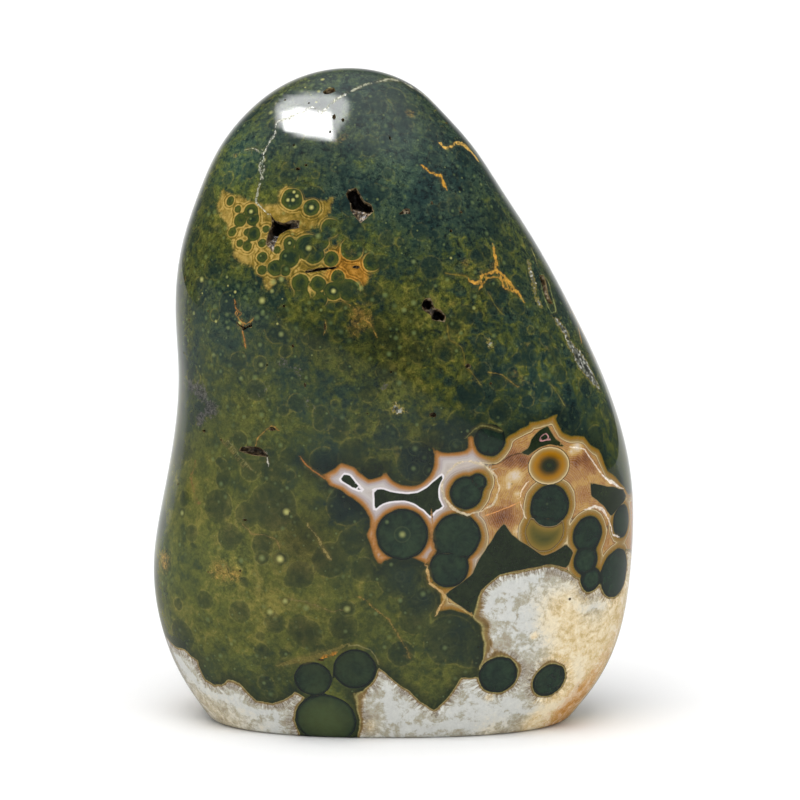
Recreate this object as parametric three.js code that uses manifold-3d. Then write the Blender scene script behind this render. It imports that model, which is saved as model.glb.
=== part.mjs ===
// A polished freeform of ocean jasper, an orbicular chalcedony. It is one stone, ground smooth all
// over, cut flat underneath so that it stands, and pierced by a few small natural vugs whose floors
// are lined with quartz crystals.
// Millimetres, +Z up. The origin is the middle of the flat base. The best face looks along -Y.

import * as THREE from "three";
import { mergeVertices } from "three/addons/utils/BufferGeometryUtils.js";
import Module from "manifold-3d";

const wasm = await Module();
wasm.setup();

// ---- Driving dimensions ----

const height = 150;
const footEdge = 1.2; // how far the ground edge of the base is rounded over
const fullness = 2.3; // 2 makes an elliptical section, and more a squarer one
const apex = { x: -10.3, y: 0.5 };

// Lines of the stone: at each height, how far it reaches to the left, right, front and back.
const stations = [
  { z: 0, left: -42.6, right: 40.4, front: -22.8, back: 22.6 },
  { z: 8, left: -48.0, right: 46.6, front: -25.8, back: 25.5 },
  { z: 20, left: -53.2, right: 52.1, front: -28.8, back: 28.8 },
  { z: 36, left: -55.4, right: 54.7, front: -30.8, back: 31.2 },
  { z: 52, left: -53.0, right: 54.9, front: -31.5, back: 32.0 },
  { z: 66, left: -50.4, right: 52.6, front: -31.6, back: 32.0 },
  { z: 80, left: -49.3, right: 47.8, front: -31.2, back: 31.2 },
  { z: 94, left: -49.8, right: 41.2, front: -29.8, back: 29.4 },
  { z: 108, left: -48.6, right: 33.7, front: -27.1, back: 26.6 },
  { z: 122, left: -44.3, right: 24.8, front: -22.8, back: 22.6 },
  { z: 132, left: -39.6, right: 18.1, front: -18.6, back: 18.5 },
  { z: 140, left: -33.2, right: 11.1, front: -13.9, back: 14.1 },
  { z: 145, left: -27.1, right: 5.9, front: -9.8, back: 10.4 },
];

// Hand grinding left soft swells (+) and hollows (-) on the two broad faces.
const swells = [
  { x: -26, z: 38, side: -1, radius: 26, rise: 1.8 },
  { x: 24, z: 62, side: -1, radius: 28, rise: 0.8 },
  { x: 14, z: 92, side: 1, radius: 28, rise: 1.6 },
  { x: -14, z: 48, side: 1, radius: 24, rise: -1.4 },
  { x: -35, z: 63, side: -1, radius: 20, rise: 1.6 },
];

// Vugs: the mouth's outline about its middle, as seen from outside, and the depth of the hollow.
const vugs = [
  {
    name: "star",
    x: -25.7,
    z: 116.3,
    depth: 5.5,
    crystals: 16,
    mouth: [
      [-2.0, 3.1], [-0.7, 1.6], [1.3, 1.1], [3.0, 2.0], [4.8, 1.9], [4.9, 0.1], [2.2, -0.4],
      [0.5, -1.6], [-0.4, -3.9], [-0.7, -5.6], [-2.7, -3.6], [-2.1, -0.7], [-1.5, 0.7],
    ],
  },
  {
    name: "ledge",
    x: -7.5,
    z: 121.4,
    depth: 5.0,
    crystals: 14,
    mouth: [
      [-3.2, 2.6], [-2.5, 3.6], [-0.7, 4.0], [0.9, 1.0], [2.6, 0.1], [3.2, -1.5], [0.1, -4.2],
      [-2.1, -1.3], [-2.2, 0.4],
    ],
  },
  {
    name: "twin",
    x: 8.7,
    z: 98.7,
    depth: 4.6,
    crystals: 12,
    mouth: [
      [-2.6, 1.2], [-1.8, 2.5], [-0.4, 2.7], [0.5, 0.4], [1.9, -0.1], [2.9, -1.5], [2.6, -2.9],
      [-0.3, -2.3], [-0.6, -1.2], [-2.2, 0],
    ],
  },
  {
    name: "lens",
    x: -31.4,
    z: 66.6,
    depth: 1.8,
    crystals: 6,
    mouth: [
      [-4.0, 0], [-3.0, 0.9], [-1.2, 1.2], [1.6, 1.2], [2.9, 0.5], [4.0, -0.9], [0, -0.8],
      [-2.0, -0.4],
    ],
  },
  {
    name: "thread",
    x: -16.3,
    z: 107.6,
    depth: 2.0,
    crystals: 0,
    mouth: [[-3.5, -0.5], [-0.4, 0.3], [3.7, 0.6], [3.6, 0.1], [-0.4, -0.6], [-3.4, -1.0]],
  },
  {
    name: "crescent",
    x: -33.4,
    z: 94.4,
    depth: 2.4,
    crystals: 0,
    mouth: [
      [-2.1, 1.2], [-0.8, 0.3], [0.3, 0], [1.4, 0.5], [2.0, 1.2], [2.2, -0.1], [1.2, -0.1],
      [-0.2, -1.1], [-0.8, -0.2], [-1.9, 0.8],
    ],
  },
  {
    name: "slit",
    x: 34.2,
    z: 101.3,
    depth: 3.2,
    crystals: 5,
    mouth: [
      [-0.4, 3.6], [2.0, 3.4], [1.6, 1.3], [0.4, -1.0], [0.7, -3.7], [-1.1, -3.4], [-1.5, -2.2],
      [-1.1, 0.5],
    ],
  },
  {
    name: "crown",
    x: -14.3,
    z: 145.6,
    depth: 1.8,
    crystals: 0,
    mouth: [[-1.7, -0.3], [-0.6, 0.9], [0.8, 1.1], [1.4, -0.1], [0.2, -0.9], [-1.2, -1.0]],
  },
  {
    name: "rear",
    x: 3,
    z: 60,
    side: 1,
    depth: 4.2,
    crystals: 10,
    mouth: [[-3.0, 1.4], [-0.6, 2.4], [2.0, 1.2], [3.3, -1.0], [0.6, -1.8], [-1.8, -1.2]],
  },
  {
    name: "rear_slit",
    x: 19,
    z: 103,
    side: 1,
    depth: 2.4,
    crystals: 0,
    mouth: [[-2.8, 1.6], [-0.4, 0.9], [2.6, -1.2], [0.2, -0.4], [-2.2, 0.6]],
  },
];

// How finely the solid is faceted.
const facets = { around: 84, up: 44 };

const jasperGreen = new THREE.MeshStandardMaterial({
  name: "polished_jasper",
  color: 0x3c4a2c,
  roughness: 0.12,
  metalness: 0,
});

// ---- Curves ----

// A natural cubic spline through (xs, ys). Its last end is level where levelEnd is true.
function spline(xs, ys, levelEnd) {
  const last = xs.length - 1;
  const gap = xs.slice(1).map((x, i) => x - xs[i]);
  const slope = ys.slice(1).map((y, i) => (y - ys[i]) / gap[i]);
  // Forward sweep of the tridiagonal system for the second derivatives.
  const upper = [0];
  const right = [0];
  for (let i = 1; i < last; i++) {
    const pivot = 2 * (gap[i - 1] + gap[i]) - gap[i - 1] * upper[i - 1];
    upper[i] = gap[i] / pivot;
    right[i] = (6 * (slope[i] - slope[i - 1]) - gap[i - 1] * right[i - 1]) / pivot;
  }
  const bend = new Array(last + 1).fill(0);
  if (levelEnd) {
    const end = gap[last - 1];
    bend[last] = (-6 * slope[last - 1] - end * right[last - 1]) / (2 * end - end * upper[last - 1]);
  }
  for (let i = last - 1; i > 0; i--) bend[i] = right[i] - upper[i] * bend[i + 1];
  return (x) => {
    let i = 0;
    while (i < last - 1 && x > xs[i + 1]) i++;
    const before = xs[i + 1] - x;
    const after = x - xs[i];
    return (
      (bend[i] * before ** 3 + bend[i + 1] * after ** 3) / (6 * gap[i]) +
      (ys[i] / gap[i] - (bend[i] * gap[i]) / 6) * before +
      (ys[i + 1] / gap[i] - (bend[i + 1] * gap[i]) / 6) * after
    );
  };
}

// The lines run over a latitude that turns from 0 at the base to a quarter turn at the top, so
// that they close in a round dome.
const latitudeOf = (z) => Math.asin(Math.min(1, z / height));
const latitudes = [...stations.map((s) => latitudeOf(s.z)), Math.PI / 2];
const lineOf = (value, end, levelEnd) =>
  spline(latitudes, [...stations.map(value), end], levelEnd);
const middleX = lineOf((s) => (s.left + s.right) / 2, apex.x, true);
const middleY = lineOf((s) => (s.front + s.back) / 2, apex.y, true);
const halfWidth = lineOf((s) => (s.right - s.left) / 2, 0, false);
const halfDepth = lineOf((s) => (s.back - s.front) / 2, 0, false);

// ---- The polished surface ----

const domeFade = 0.9; // the squarer section fades into an ellipse over this much latitude
function sectionPower(latitude) {
  const share = Math.min(1, (Math.PI / 2 - latitude) / domeFade);
  return 2 + (fullness - 2) * share;
}

function swellAt(x, z, facing) {
  let rise = 0;
  for (const s of swells) {
    const share = Math.max(0, facing * s.side) ** 2;
    rise += share * s.rise * Math.exp(-((x - s.x) ** 2 + (z - s.z) ** 2) / s.radius ** 2);
  }
  return rise;
}

// The point at a turn about the stone's own middle and a height. reach is 1 on the surface.
function surfacePoint(turn, z, reach = 1) {
  const latitude = latitudeOf(z);
  const power = sectionPower(latitude);
  const across = Math.cos(turn);
  const facing = Math.sin(turn);
  const length = (Math.abs(across) ** power + Math.abs(facing) ** power) ** (-1 / power);
  const x = middleX(latitude) + halfWidth(latitude) * length * across * reach;
  const y = middleY(latitude) + halfDepth(latitude) * length * facing * reach;
  return new THREE.Vector3(x, y + facing * swellAt(x, z, facing) * reach, z);
}

// The turn at which the front (side -1) or back (side 1) lies over a given x at a given height.
function turnOver(x, z, side) {
  const latitude = latitudeOf(z);
  const power = sectionPower(latitude);
  const across = (x - middleX(latitude)) / halfWidth(latitude);
  const facing = side * (1 - Math.abs(across) ** power) ** (1 / power);
  return Math.atan2(facing, across);
}

function outwardAt(turn, z) {
  const step = 0.01;
  const alongTurn = surfacePoint(turn + step, z).sub(surfacePoint(turn - step, z));
  const alongHeight = surfacePoint(turn, z + step).sub(surfacePoint(turn, z - step));
  return alongTurn.cross(alongHeight).normalize();
}

// ---- Solids ----

function solidFrom(geometry) {
  geometry.deleteAttribute("normal");
  geometry.deleteAttribute("uv");
  const merged = mergeVertices(geometry, 1e-3);
  const corners = merged.index.array;
  const kept = [];
  for (let i = 0; i < corners.length; i += 3) {
    const [a, b, c] = corners.slice(i, i + 3);
    if (a !== b && b !== c && c !== a) kept.push(a, b, c);
  }
  return new wasm.Manifold(
    new wasm.Mesh({
      numProp: 3,
      vertProperties: merged.attributes.position.array,
      triVerts: new Uint32Array(kept),
    }),
  );
}

function geometryFrom(solid) {
  const mesh = solid.getMesh();
  const geometry = new THREE.BufferGeometry();
  geometry.setAttribute("position", new THREE.BufferAttribute(mesh.vertProperties, 3));
  geometry.setIndex(new THREE.BufferAttribute(mesh.triVerts, 1));
  geometry.computeVertexNormals();
  return geometry;
}

// Rows from the middle of the base, over its rounded edge and up the sides to the top.
function rows() {
  const rim = 1 - footEdge / halfWidth(0);
  const list = [
    { z: 0, reach: 0 },
    { z: 0, reach: 0.55 },
    { z: 0, reach: rim },
    { z: 0.3 * footEdge, reach: 1 - 0.3 * (1 - rim) },
  ];
  const first = latitudeOf(footEdge);
  for (let i = 0; i < facets.up; i++) {
    const latitude = first + ((Math.PI / 2 - first) * i) / facets.up;
    list.push({ z: height * Math.sin(latitude), reach: 1 });
  }
  list.push({ z: height, reach: 0 });
  return list;
}

// A lathed bobbin gives the grid of rows and turns, and each of its vertices then goes to its
// place on the stone.
function stoneBlank() {
  const profile = rows().map((row) => new THREE.Vector2(row.reach, row.z));
  const blank = new THREE.LatheGeometry(profile, facets.around);
  const position = blank.attributes.position;
  for (let i = 0; i < position.count; i++) {
    const east = position.getX(i);
    const south = position.getZ(i);
    const turn = Math.atan2(-south, east);
    const point = surfacePoint(turn, position.getY(i), Math.hypot(east, south));
    position.setXYZ(i, point.x, point.y, point.z);
  }
  return solidFrom(blank);
}

// A small repeatable scatter, from 0 to 1.
function scatterFrom(seed) {
  let state = seed;
  return () => {
    state = (state * 16807) % 2147483647;
    return state / 2147483647;
  };
}

const vugShape = { proud: 3, floorShare: 0.5 }; // how far a cutter stands out, and its taper
const crystalShape = { sides: 6, width: 0.95, length: 1.9, sunk: 0.8 };

// The hollow of one vug, before it is turned to the surface: +Z points out of the stone.
function vugHollow(vug, scatter) {
  const outline = new THREE.Shape(vug.mouth.map(([x, z]) => new THREE.Vector2(x, z)));
  const hollow = new THREE.ExtrudeGeometry(outline, {
    depth: vug.depth + vugShape.proud,
    bevelEnabled: false,
    steps: 2,
  });
  const position = hollow.attributes.position;
  for (let i = 0; i < position.count; i++) {
    const up = position.getZ(i) - vug.depth;
    const share = up >= 0 ? 1 : 1 + ((1 - vugShape.floorShare) * up) / vug.depth;
    position.setXYZ(i, position.getX(i) * share, position.getY(i) * share, up);
  }
  let solid = solidFrom(hollow);
  const reach = Math.max(...vug.mouth.flat().map(Math.abs)) * 0.75;
  for (let i = 0; i < vug.crystals; i++) {
    const width = crystalShape.width * (0.6 + 0.7 * scatter());
    const length = crystalShape.length * (0.5 + 0.8 * scatter());
    const crystal = new THREE.ConeGeometry(width, length, crystalShape.sides);
    crystal.rotateX(Math.PI / 2);
    crystal.translate(0, 0, length / 2 - crystalShape.sunk);
    crystal.rotateX((scatter() - 0.5) * 0.9);
    crystal.rotateY((scatter() - 0.5) * 0.9);
    crystal.translate((scatter() * 2 - 1) * reach, (scatter() * 2 - 1) * reach, -vug.depth);
    solid = solid.subtract(solidFrom(crystal));
  }
  return solid;
}

// The hollow turned so that it opens out of the stone at its place on the front or back.
function placedHollow(vug, scatter) {
  const side = vug.side ?? -1;
  const turn = turnOver(vug.x, vug.z, side);
  const place = surfacePoint(turn, vug.z);
  const out = outwardAt(turn, vug.z);
  const right = new THREE.Vector3(0, 0, 1).cross(out).normalize();
  const up = out.clone().cross(right);
  const frame = new THREE.Matrix4().makeBasis(right, up, out).setPosition(place);
  return vugHollow(vug, scatter).transform(frame.elements);
}

function jasperStone() {
  const scatter = scatterFrom(20617);
  let solid = stoneBlank();
  for (const vug of vugs) solid = solid.subtract(placedHollow(vug, scatter));
  const mesh = new THREE.Mesh(geometryFrom(solid), jasperGreen);
  mesh.name = "jasper_stone";
  return mesh;
}

const freeform = new THREE.Group();
freeform.name = "ocean_jasper_freeform";
freeform.add(jasperStone());

export default freeform;
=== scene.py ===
import math
import random
import bmesh
import bpy
import numpy as np
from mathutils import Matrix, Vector, noise
from mathutils.bvhtree import BVHTree
from mathutils.kdtree import KDTree


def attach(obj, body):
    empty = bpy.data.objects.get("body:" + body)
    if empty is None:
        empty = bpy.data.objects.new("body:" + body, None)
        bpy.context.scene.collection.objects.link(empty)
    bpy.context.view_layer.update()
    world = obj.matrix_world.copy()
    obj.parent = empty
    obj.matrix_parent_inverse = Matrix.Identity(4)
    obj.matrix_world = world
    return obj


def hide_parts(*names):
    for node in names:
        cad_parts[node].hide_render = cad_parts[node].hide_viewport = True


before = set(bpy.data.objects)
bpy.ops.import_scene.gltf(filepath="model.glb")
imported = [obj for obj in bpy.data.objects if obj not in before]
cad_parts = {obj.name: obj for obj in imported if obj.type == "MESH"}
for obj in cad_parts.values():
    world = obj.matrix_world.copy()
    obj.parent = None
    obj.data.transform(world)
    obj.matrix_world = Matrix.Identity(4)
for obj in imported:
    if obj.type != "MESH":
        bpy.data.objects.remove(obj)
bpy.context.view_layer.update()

mm = 0.001

# ---- the camera: about 0.9 m off, looking a little down on the best face

viewpoint = {
    "target": Vector((1.4, 0, 74)),  # mm
    "distance": 900,  # mm
    "elevation": math.radians(9),
    "lens": 176.6,
    "sensor": 36,
    "picture": 800,  # pixels, square
}


def makeCamera(view):
    tilt = view["elevation"]
    back = Vector((0, -math.cos(tilt), math.sin(tilt)))
    data = bpy.data.cameras.new("camera")
    data.lens = view["lens"]
    data.sensor_width = view["sensor"]
    data.clip_end = 30
    camera = bpy.data.objects.new("camera", data)
    camera.location = (view["target"] + back * view["distance"]) * mm
    camera.rotation_euler = (-back).to_track_quat("-Z", "Y").to_euler()
    bpy.context.collection.objects.link(camera)
    bpy.context.scene.camera = camera


makeCamera(viewpoint)
print("camera made")


def sightLine(view, px, py):
    # from the camera through a pixel: the eye, in mm, and the way
    tilt = view["elevation"]
    ahead = Vector((0, math.cos(tilt), -math.sin(tilt)))
    up = Vector((0, math.sin(tilt), math.cos(tilt)))
    focal = view["lens"] / view["sensor"] * view["picture"]
    half = view["picture"] / 2
    way = ahead + Vector((1, 0, 0)) * (px - half) / focal - up * (py - half) / focal
    return view["target"] - ahead * view["distance"], way.normalized()


# ---- the stone's form, in mm: how far it reaches at each height

stoneForm = {
    "height": 150,
    "footEdge": 1.2,  # radius of the ground edge round the foot
    "fullness": 2.3,  # power of the outline from above, where an ellipse has 2
    "domeFade": 0.9,  # radians over which it falls to 2 at the top
    "apex": (-10.3, 0.5),
    "stations": [  # height, left, right, front, back
        (0, -42.6, 40.4, -22.8, 22.6), (8, -48.0, 46.6, -25.8, 25.5), (20, -53.2, 52.1, -28.8, 28.8),
        (36, -55.4, 54.7, -30.8, 31.2), (52, -53.0, 54.9, -31.5, 32.0), (66, -50.4, 52.6, -31.6, 32.0),
        (80, -49.3, 47.8, -31.2, 31.2), (94, -49.8, 41.2, -29.8, 29.4), (108, -48.6, 33.7, -27.1, 26.6),
        (122, -44.3, 24.8, -22.8, 22.6), (132, -39.6, 18.1, -18.6, 18.5), (140, -33.2, 11.1, -13.9, 14.1),
        (145, -27.1, 5.9, -9.8, 10.4),
    ],
    "swells": [  # x, z, side (-1 front, 1 back), radius, rise
        (-26, 38, -1, 26, 1.8), (24, 62, -1, 28, 0.8), (14, 92, 1, 28, 1.6), (-14, 48, 1, 24, -1.4),
        (-35, 63, -1, 20, 1.6),
    ],
    "frontStep": 0.7,  # mesh spacing on the best face and on the back
    "backStep": 1.2,
    "rowStep": 0.79,
    "evenHeight": 52.0,  # where the columns of the mesh are spaced
    "turnSamples": 6001,
    "riseSamples": 4001,
    "baseRings": (0.3, 0.6, 0.8, 0.92),  # shares of the base's reach
    "edgeRows": 5,
    "wobble": 0.03,  # what hand polishing leaves of the true curve
    "wobbleStart": 3,  # height, and how far above it the wobble is whole
    "wobbleFade": 12,
    "waves": [  # way and start of each wave in it
        ((0.12, 0.1, 0.13), 0.4),
        ((-0.1, 0.14, 0.11), 2.1),
        ((0.13, -0.12, 0.15), 4.0),
        ((0.19, 0.1, -0.16), 1.2),
    ],
}


def spline(xs, ys, levelEnd):
    # a natural cubic spline whose last end is level where levelEnd is true
    xs, ys = np.array(xs, float), np.array(ys, float)
    last = len(xs) - 1
    gap = np.diff(xs)
    slope = np.diff(ys) / gap
    system = np.eye(last + 1)
    right = np.zeros(last + 1)
    for i in range(1, last):
        system[i, i - 1:i + 2] = gap[i - 1], 2 * (gap[i - 1] + gap[i]), gap[i]
        right[i] = 6 * (slope[i] - slope[i - 1])
    if levelEnd:
        system[last, last - 1:] = gap[-1], 2 * gap[-1]
        right[last] = -6 * slope[-1]
    bend = np.linalg.solve(system, right)

    def at(x):
        i = np.clip(np.searchsorted(xs, x) - 1, 0, last - 1)
        before, after, wide = xs[i + 1] - x, x - xs[i], gap[i]
        cubic = (bend[i] * before ** 3 + bend[i + 1] * after ** 3) / (6 * wide)
        start = (ys[i] / wide - bend[i] * wide / 6) * before
        return cubic + start + (ys[i + 1] / wide - bend[i + 1] * wide / 6) * after
    return at


class StoneSurface:
    def __init__(self, form):
        self.form = form
        z, left, right, front, back = np.array(form["stations"], float).T
        latitudes = np.append(np.arcsin(z / form["height"]), math.pi / 2)
        self.middleX = spline(latitudes, np.append((left + right) / 2, form["apex"][0]), True)
        self.middleY = spline(latitudes, np.append((front + back) / 2, form["apex"][1]), True)
        self.halfWidth = spline(latitudes, np.append((right - left) / 2, 0), False)
        self.halfDepth = spline(latitudes, np.append((back - front) / 2, 0), False)

    def power(self, latitude):
        share = np.clip((math.pi / 2 - latitude) / self.form["domeFade"], 0, 1)
        return 2 + (self.form["fullness"] - 2) * share

    def swell(self, x, z, facing):
        rise = 0
        for sx, sz, side, radius, height in self.form["swells"]:
            share = np.maximum(0, facing * side) ** 2
            rise = rise + share * height * np.exp(-((x - sx) ** 2 + (z - sz) ** 2) / radius ** 2)
        return rise

    def points(self, turn, z, reach=1.0):
        latitude = np.arcsin(np.clip(z / self.form["height"], 0, 1))
        power = self.power(latitude)
        across, facing = np.cos(turn), np.sin(turn)
        length = (np.abs(across) ** power + np.abs(facing) ** power) ** (-1 / power) * reach
        x = self.middleX(latitude) + self.halfWidth(latitude) * length * across
        y = self.middleY(latitude) + self.halfDepth(latitude) * length * facing
        y = y + facing * self.swell(x, z, facing) * reach
        return np.stack(np.broadcast_arrays(x, y, z), -1)

    def turnOf(self, points):
        latitude = np.arcsin(np.clip(points[:, 2] / self.form["height"], 0, 0.99995))
        across = (points[:, 0] - self.middleX(latitude)) / self.halfWidth(latitude)
        facing = (points[:, 1] - self.middleY(latitude)) / self.halfDepth(latitude)
        return np.arctan2(facing, across)


def evenSteps(weights, steps):
    # positions that cut the running total of the weights into equal steps
    total = np.concatenate([[0], np.cumsum(weights)])
    return np.interp(np.linspace(0, total[-1], steps + 1), total, np.arange(len(total)))


def gridTurns(surface):
    form = surface.form
    fine = np.linspace(-math.pi, math.pi, form["turnSamples"])
    line = surface.points(fine, np.full_like(fine, form["evenHeight"]))
    length = np.linalg.norm(np.diff(line, axis=0), axis=1)
    front = 0.5 - 0.5 * np.tanh(np.sin(fine[:-1]) * 6)
    weights = length * (front / form["frontStep"] + (1 - front) / form["backStep"])
    places = evenSteps(weights, round(weights.sum()))[:-1]
    return np.interp(places, np.arange(len(fine)), fine)


def gridRows(surface):
    # rows as (height, reach): the flat base, its ground edge, then the sides up to the top
    form = surface.form
    edge = form["footEdge"]
    rim = 1 - edge / float(surface.halfWidth(0.0))
    rows = [(0, reach) for reach in (*form["baseRings"], rim)]
    for i in range(1, form["edgeRows"]):
        bend = math.pi / 2 * i / form["edgeRows"]
        rows.append((edge * (1 - math.cos(bend)), rim + (1 - rim) * math.sin(bend)))
    latitude = np.linspace(math.asin(edge / form["height"]), math.pi / 2, form["riseSamples"])
    z = form["height"] * np.sin(latitude)
    lines = [surface.points(np.full_like(z, turn), z) for turn in (-math.pi / 2, math.pi, 0)]
    length = np.max([np.linalg.norm(np.diff(line, axis=0), axis=1) for line in lines], axis=0)
    count = round(length.sum() / form["rowStep"])
    places = evenSteps(length, count)[:-1]
    return rows + [(height, 1) for height in np.interp(places, np.arange(len(z)), z)]


def wobbleOf(points, form):
    total = sum(np.sin(points @ np.array(way) + start) for way, start in form["waves"])
    return form["wobble"] * total / 2


def gridMesh(name, surface):
    form = surface.form
    turns = gridTurns(surface)
    rows = gridRows(surface)
    heights = np.array([row[0] for row in rows])[:, None]
    reaches = np.array([row[1] for row in rows])[:, None]
    points = surface.points(turns[None, :], heights + 0 * turns[None, :], reaches)
    along = np.roll(points, -1, 1) - np.roll(points, 1, 1)
    rise = np.gradient(points, axis=0)
    out = np.cross(along, rise)
    out /= np.maximum(np.linalg.norm(out, axis=2, keepdims=True), 1e-9)
    fade = np.clip((heights - form["wobbleStart"]) / form["wobbleFade"], 0, 1)[..., None]
    points = points + out * wobbleOf(points, form)[..., None] * fade
    rowCount, turnCount = len(rows), len(turns)
    vertices = points.reshape(-1, 3) * mm
    index = np.arange(rowCount * turnCount).reshape(rowCount, turnCount)
    after = np.roll(index, -1, 1)
    quads = np.stack([index[:-1], after[:-1], after[1:], index[1:]], -1).reshape(-1, 4)
    foot, top = len(vertices), len(vertices) + 1
    ends = [[float(surface.middleX(0.0)) * mm, float(surface.middleY(0.0)) * mm, 0],
            [form["apex"][0] * mm, form["apex"][1] * mm, form["height"] * mm]]
    fans = [(int(after[0, i]), int(index[0, i]), foot) for i in range(turnCount)]
    fans += [(int(index[-1, i]), int(after[-1, i]), top) for i in range(turnCount)]
    mesh = bpy.data.meshes.new(name)
    mesh.from_pydata(np.vstack([vertices, ends]).tolist(), [], quads.tolist() + fans)
    mesh.validate()
    return mesh


surface = StoneSurface(stoneForm)
blankMesh = gridMesh("blank", surface)
print("blank of", len(blankMesh.polygons), "faces")


# ---- the stone's skin, unrolled: mm round it from the middle of the best face, and mm up it

skinGrid = {"levels": 160, "turns": 1441, "top": 0.9995}  # top as a share of the height


class Skin:
    def __init__(self, surface, mesh):
        self.surface = surface
        self.levels = np.linspace(0, surface.form["height"] * skinGrid["top"], skinGrid["levels"])
        self.turns = np.linspace(-math.pi * 1.5, math.pi / 2, skinGrid["turns"])  # from the back round to it
        grid = surface.points(self.turns[None, :], self.levels[:, None] + 0 * self.turns[None, :])
        steps = np.linalg.norm(np.diff(grid, axis=1), axis=2)
        length = np.concatenate([np.zeros((len(self.levels), 1)), np.cumsum(steps, axis=1)], axis=1)
        middle = len(self.turns) // 2
        self.around = length - length[:, middle:middle + 1]
        rises = np.linalg.norm(np.diff(grid[:, middle], axis=0), axis=1)
        self.climb = np.concatenate([[0], np.cumsum(rises)])
        points = [vertex.co / mm for vertex in mesh.vertices]
        self.tree = BVHTree.FromPolygons(points, [polygon.vertices for polygon in mesh.polygons])

    def unroll(self, points):
        z = np.clip(points[:, 2], 0, self.levels[-1])
        turn = self.surface.turnOf(points)
        turn = np.where(turn > math.pi / 2, turn - 2 * math.pi, turn)
        row = z / self.levels[-1] * (len(self.levels) - 1)
        column = (turn - self.turns[0]) / (self.turns[-1] - self.turns[0]) * (len(self.turns) - 1)
        i = np.clip(row.astype(int), 0, len(self.levels) - 2)
        j = np.clip(column.astype(int), 0, len(self.turns) - 2)
        up, across = row - i, column - j
        table = self.around
        lower = table[i, j] * (1 - across) + table[i, j + 1] * across
        upper = table[i + 1, j] * (1 - across) + table[i + 1, j + 1] * across
        return np.stack([lower * (1 - up) + upper * up, np.interp(z, self.levels, self.climb)], -1)

    def at(self, flat):
        # the point on the stone at mm round and mm up
        z = float(np.interp(flat[1], self.climb, self.levels))
        row = min(int(z / self.levels[-1] * (len(self.levels) - 1)), len(self.levels) - 1)
        turn = float(np.interp(flat[0], self.around[row], self.turns))
        return self.surface.points(np.array(turn), np.array(z))

    def seen(self, px, py):
        # where the stone shows at a pixel of the picture
        eye, way = sightLine(viewpoint, px, py)
        place = self.tree.ray_cast(eye, way)[0]
        if place is None:
            place = self.tree.find_nearest(eye + way * viewpoint["distance"])[0]
        return np.array(place)

    def seenFlat(self, pixels):
        return self.unroll(np.array([self.seen(px, py) for px, py in pixels]))

    def frame(self, x, z, side):
        # the skin above (x, z) on the front (-1) or back (1): the place, right, up and out
        place, out, _, _ = self.tree.ray_cast(Vector((x, side * 100, z)), Vector((0, -side, 0)))
        right = Vector((0, 0, 1)).cross(out).normalized()
        return place, right, out.cross(right), out

    def depths(self, points):
        # how far points lie under the skin
        found = [self.tree.find_nearest(point) for point in points.tolist()]
        places = np.array([hit[0] for hit in found])
        outs = np.array([hit[1] for hit in found])
        return np.einsum("ij,ij->i", places - points, outs)


skin = Skin(surface, blankMesh)
print("skin unrolled")


# ---- hollows: crystal-lined vugs and pinholes, cut out of the blank

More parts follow.
